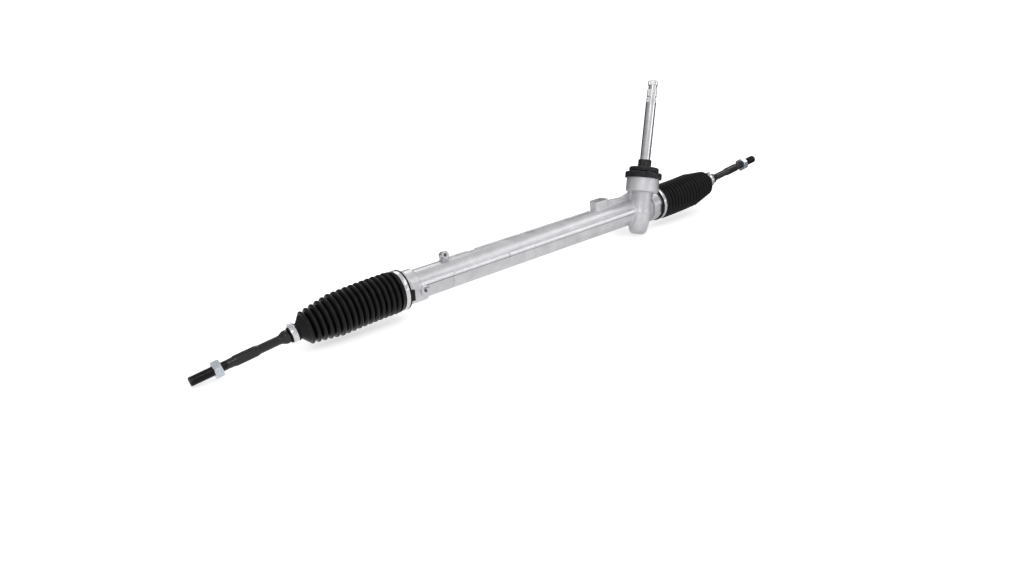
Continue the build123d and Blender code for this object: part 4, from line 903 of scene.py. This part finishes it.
def makeCap():
    v = capValues
    outline = rounded(v["outline"], v["rounding"], 2)
    bm = turned(outline, v["steps"], True)
    pitch = 2 * math.pi / v["notches"]
    for vert in bm.verts:
        along, radius = vert.co.x / mm, math.hypot(vert.co.y, vert.co.z) / mm
        angle = math.atan2(vert.co.y, vert.co.z)
        inNotch = abs((angle + pitch / 2) % pitch - pitch / 2) < math.radians(v["flangeHalf"])
        midway = abs(angle % pitch - pitch / 2) < math.radians(v["tierHalf"])
        onTier = v["tierFrom"] < radius < v["flangeFrom"] and along > v["tierFoot"]
        limit = radius
        if radius > v["flangeFrom"] and inNotch:
            limit = v["flange"]
        elif onTier and midway:
            limit = v["tier"]
        elif along > v["neckFrom"] and radius > v["neckRadius"]:
            limit = radius - v["fluteDepth"] * (0.5 + 0.5 * math.cos(angle * v["flutes"]))
        if limit < radius:
            vert.co.y *= limit / radius
            vert.co.z *= limit / radius
    bmesh.ops.remove_doubles(bm, verts=bm.verts[:], dist=0.002 * mm)
    placeAlong(bm, pinionFoot, pinionDir, frontDir)
    cap = pieceFrom(bm, "sealCap", looks["cap_plastic"], 35)
    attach(cap, "housing")
    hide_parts("dust_cap")


makeCap()
print("cap made")

# ---- camera ----

cameraValues = {
    "place": (-0.9488, -0.9768, 0.3657), "right": (0.77189, -0.62957, -0.08848),
    "up": (0.28843, 0.22276, 0.93123), "focalPixels": 805.58, "imageWidth": 1024, "sensorWidth": 36.0,
}


def makeCamera():
    v = cameraValues
    data = bpy.data.cameras.new("viewCamera")
    data.sensor_width = v["sensorWidth"]
    data.lens = v["focalPixels"] / v["imageWidth"] * v["sensorWidth"]
    data.clip_start = 0.01
    data.clip_end = 50
    camera = bpy.data.objects.new("viewCamera", data)
    bpy.context.scene.collection.objects.link(camera)
    right, up = Vector(v["right"]).normalized(), Vector(v["up"]).normalized()
    back = right.cross(up)
    camera.matrix_world = Matrix.Translation(v["place"]) @ Matrix((right, up, back)).transposed().to_4x4()
    bpy.context.scene.camera = camera


makeCamera()

# ---- floor, world and lamps ----

studioValues = {
    "floorSize": 70.0, "floorGap": 0.0015, "floorColour": (0.84, 0.84, 0.84, 1), "floorGlow": 0.58,
    "skyTop": (1.0, 1.0, 1.0, 1), "skyLow": (0.38, 0.39, 0.41, 1), "skyStrength": 0.68,
    "frontWall": (1.55, 1.55, 1.58, 1), "backWall": (0.07, 0.07, 0.08, 1),
    "viewerSide": (-0.606, -0.795, 0.0),
    "mirrorFar": -0.30, "mirrorNear": 0.10, "mirrorDark": 0.10, "mirrorBright": 1.0,
    "frontFrom": 0.35, "frontFull": 0.85, "topFrom": 0.10, "topFull": 0.75,
    "backFrom": -0.30, "backFull": -0.62, "backLow": 0.38, "backHigh": 0.62, "aim": (-0.14, 0, -0.02),
    "lamps": [
        ("keyLamp", (-1.3, -1.5, 2.0), (1.2, 1.2), 11.0, 180),
        ("stripLamp", (1.03, -1.56, 0.34), (2.0, 0.34), 0.8, 80),
        ("fillLamp", (1.25, -0.85, 1.6), (2.4, 0.36), 7.0, 180),
        ("backLamp", (0.5, 2.0, 1.9), (1.4, 1.4), 14.0, 180),
    ],
}


def makeStudio():
    v = studioValues
    scene = bpy.context.scene
    lowest = min(cadBox[0].z, cadBox[1].z) - v["floorGap"]
    bm = bmesh.new()
    bmesh.ops.create_grid(bm, x_segments=1, y_segments=1, size=v["floorSize"] / 2)
    bmesh.ops.translate(bm, vec=(0, 0, lowest), verts=bm.verts[:])
    mesh = bpy.data.meshes.new("studioFloor")
    bm.to_mesh(mesh)
    bm.free()
    floor = bpy.data.objects.new("studioFloor", mesh)
    scene.collection.objects.link(floor)
    material = bpy.data.materials.new("floorWhite")
    material.use_nodes = True
    tree = material.node_tree
    tree.nodes.clear()
    out = tree.nodes.new("ShaderNodeOutputMaterial")
    matt = tree.nodes.new("ShaderNodeBsdfDiffuse")
    matt.inputs["Color"].default_value = v["floorColour"]
    glow = tree.nodes.new("ShaderNodeEmission")
    glow.inputs["Color"].default_value = (1, 1, 1, 1)
    path = tree.nodes.new("ShaderNodeLightPath")
    seen = mathNode(tree, "MAXIMUM", path.outputs["Is Camera Ray"], path.outputs["Is Glossy Ray"])
    seen = mathNode(tree, "MAXIMUM", seen, path.outputs["Is Transmission Ray"])
    link(tree, mathNode(tree, "MULTIPLY", seen, v["floorGlow"]), glow.inputs["Strength"])
    both = tree.nodes.new("ShaderNodeAddShader")
    link(tree, matt.outputs[0], both.inputs[0])
    link(tree, glow.outputs[0], both.inputs[1])
    # in mirrors the floor is a plain card, bright towards the viewer and dark behind: it edges bright shafts
    place = tree.nodes.new("ShaderNodeTexCoord").outputs["Object"]
    card = tree.nodes.new("ShaderNodeEmission")
    forward = dotPlane(tree, place, (0, 0, 0), v["viewerSide"])
    shine = rangeNode(tree, forward, v["mirrorFar"], v["mirrorNear"], v["mirrorDark"], v["mirrorBright"])
    link(tree, shine, card.inputs["Strength"])
    pick = tree.nodes.new("ShaderNodeMixShader")
    link(tree, path.outputs["Is Glossy Ray"], pick.inputs[0])
    link(tree, both.outputs[0], pick.inputs[1])
    link(tree, card.outputs[0], pick.inputs[2])
    link(tree, pick.outputs[0], out.inputs[0])
    mesh.materials.append(material)
    world = bpy.data.worlds.new("studioWorld")
    scene.world = world
    world.use_nodes = True
    tree = world.node_tree
    tree.nodes.clear()
    out = tree.nodes.new("ShaderNodeOutputWorld")
    place = tree.nodes.new("ShaderNodeTexCoord").outputs["Generated"]
    height = splitAxis(tree, place, 2)
    facing = dotPlane(tree, place, (0, 0, 0), v["viewerSide"])
    inFront = rangeNode(tree, facing, v["frontFrom"], v["frontFull"], 0.0, 1.0)
    walls = mixColours(tree, inFront, v["skyLow"], v["frontWall"])
    sky = mixColours(tree, rangeNode(tree, height, v["topFrom"], v["topFull"], 0.0, 1.0), walls, v["skyTop"])
    behind = mathNode(tree, "MULTIPLY", rangeNode(tree, facing, v["backFrom"], v["backFull"], 0.0, 1.0),
                      rangeNode(tree, height, v["backLow"], v["backHigh"], 1.0, 0.0))
    sky = mixColours(tree, behind, sky, v["backWall"])
    dim = tree.nodes.new("ShaderNodeBackground")
    link(tree, sky, dim.inputs["Color"])
    dim.inputs["Strength"].default_value = v["skyStrength"]
    white = tree.nodes.new("ShaderNodeBackground")
    white.inputs["Color"].default_value = (1, 1, 1, 1)
    path = tree.nodes.new("ShaderNodeLightPath")
    pick = tree.nodes.new("ShaderNodeMixShader")
    link(tree, path.outputs["Is Camera Ray"], pick.inputs[0])
    link(tree, dim.outputs[0], pick.inputs[1])
    link(tree, white.outputs[0], pick.inputs[2])
    link(tree, pick.outputs[0], out.inputs[0])
    for name, place, (width, height), power, spread in v["lamps"]:
        light = bpy.data.lights.new(name, "AREA")
        light.shape = "RECTANGLE"
        light.size = width
        light.size_y = height
        light.spread = math.radians(spread)
        light.energy = power
        lamp = bpy.data.objects.new(name, light)
        scene.collection.objects.link(lamp)
        lamp.location = place
        lamp.rotation_euler = (Vector(v["aim"]) - Vector(place)).to_track_quat("-Z", "Y").to_euler()
    scene.view_settings.view_transform = "Standard"


makeStudio()
print("studio made")
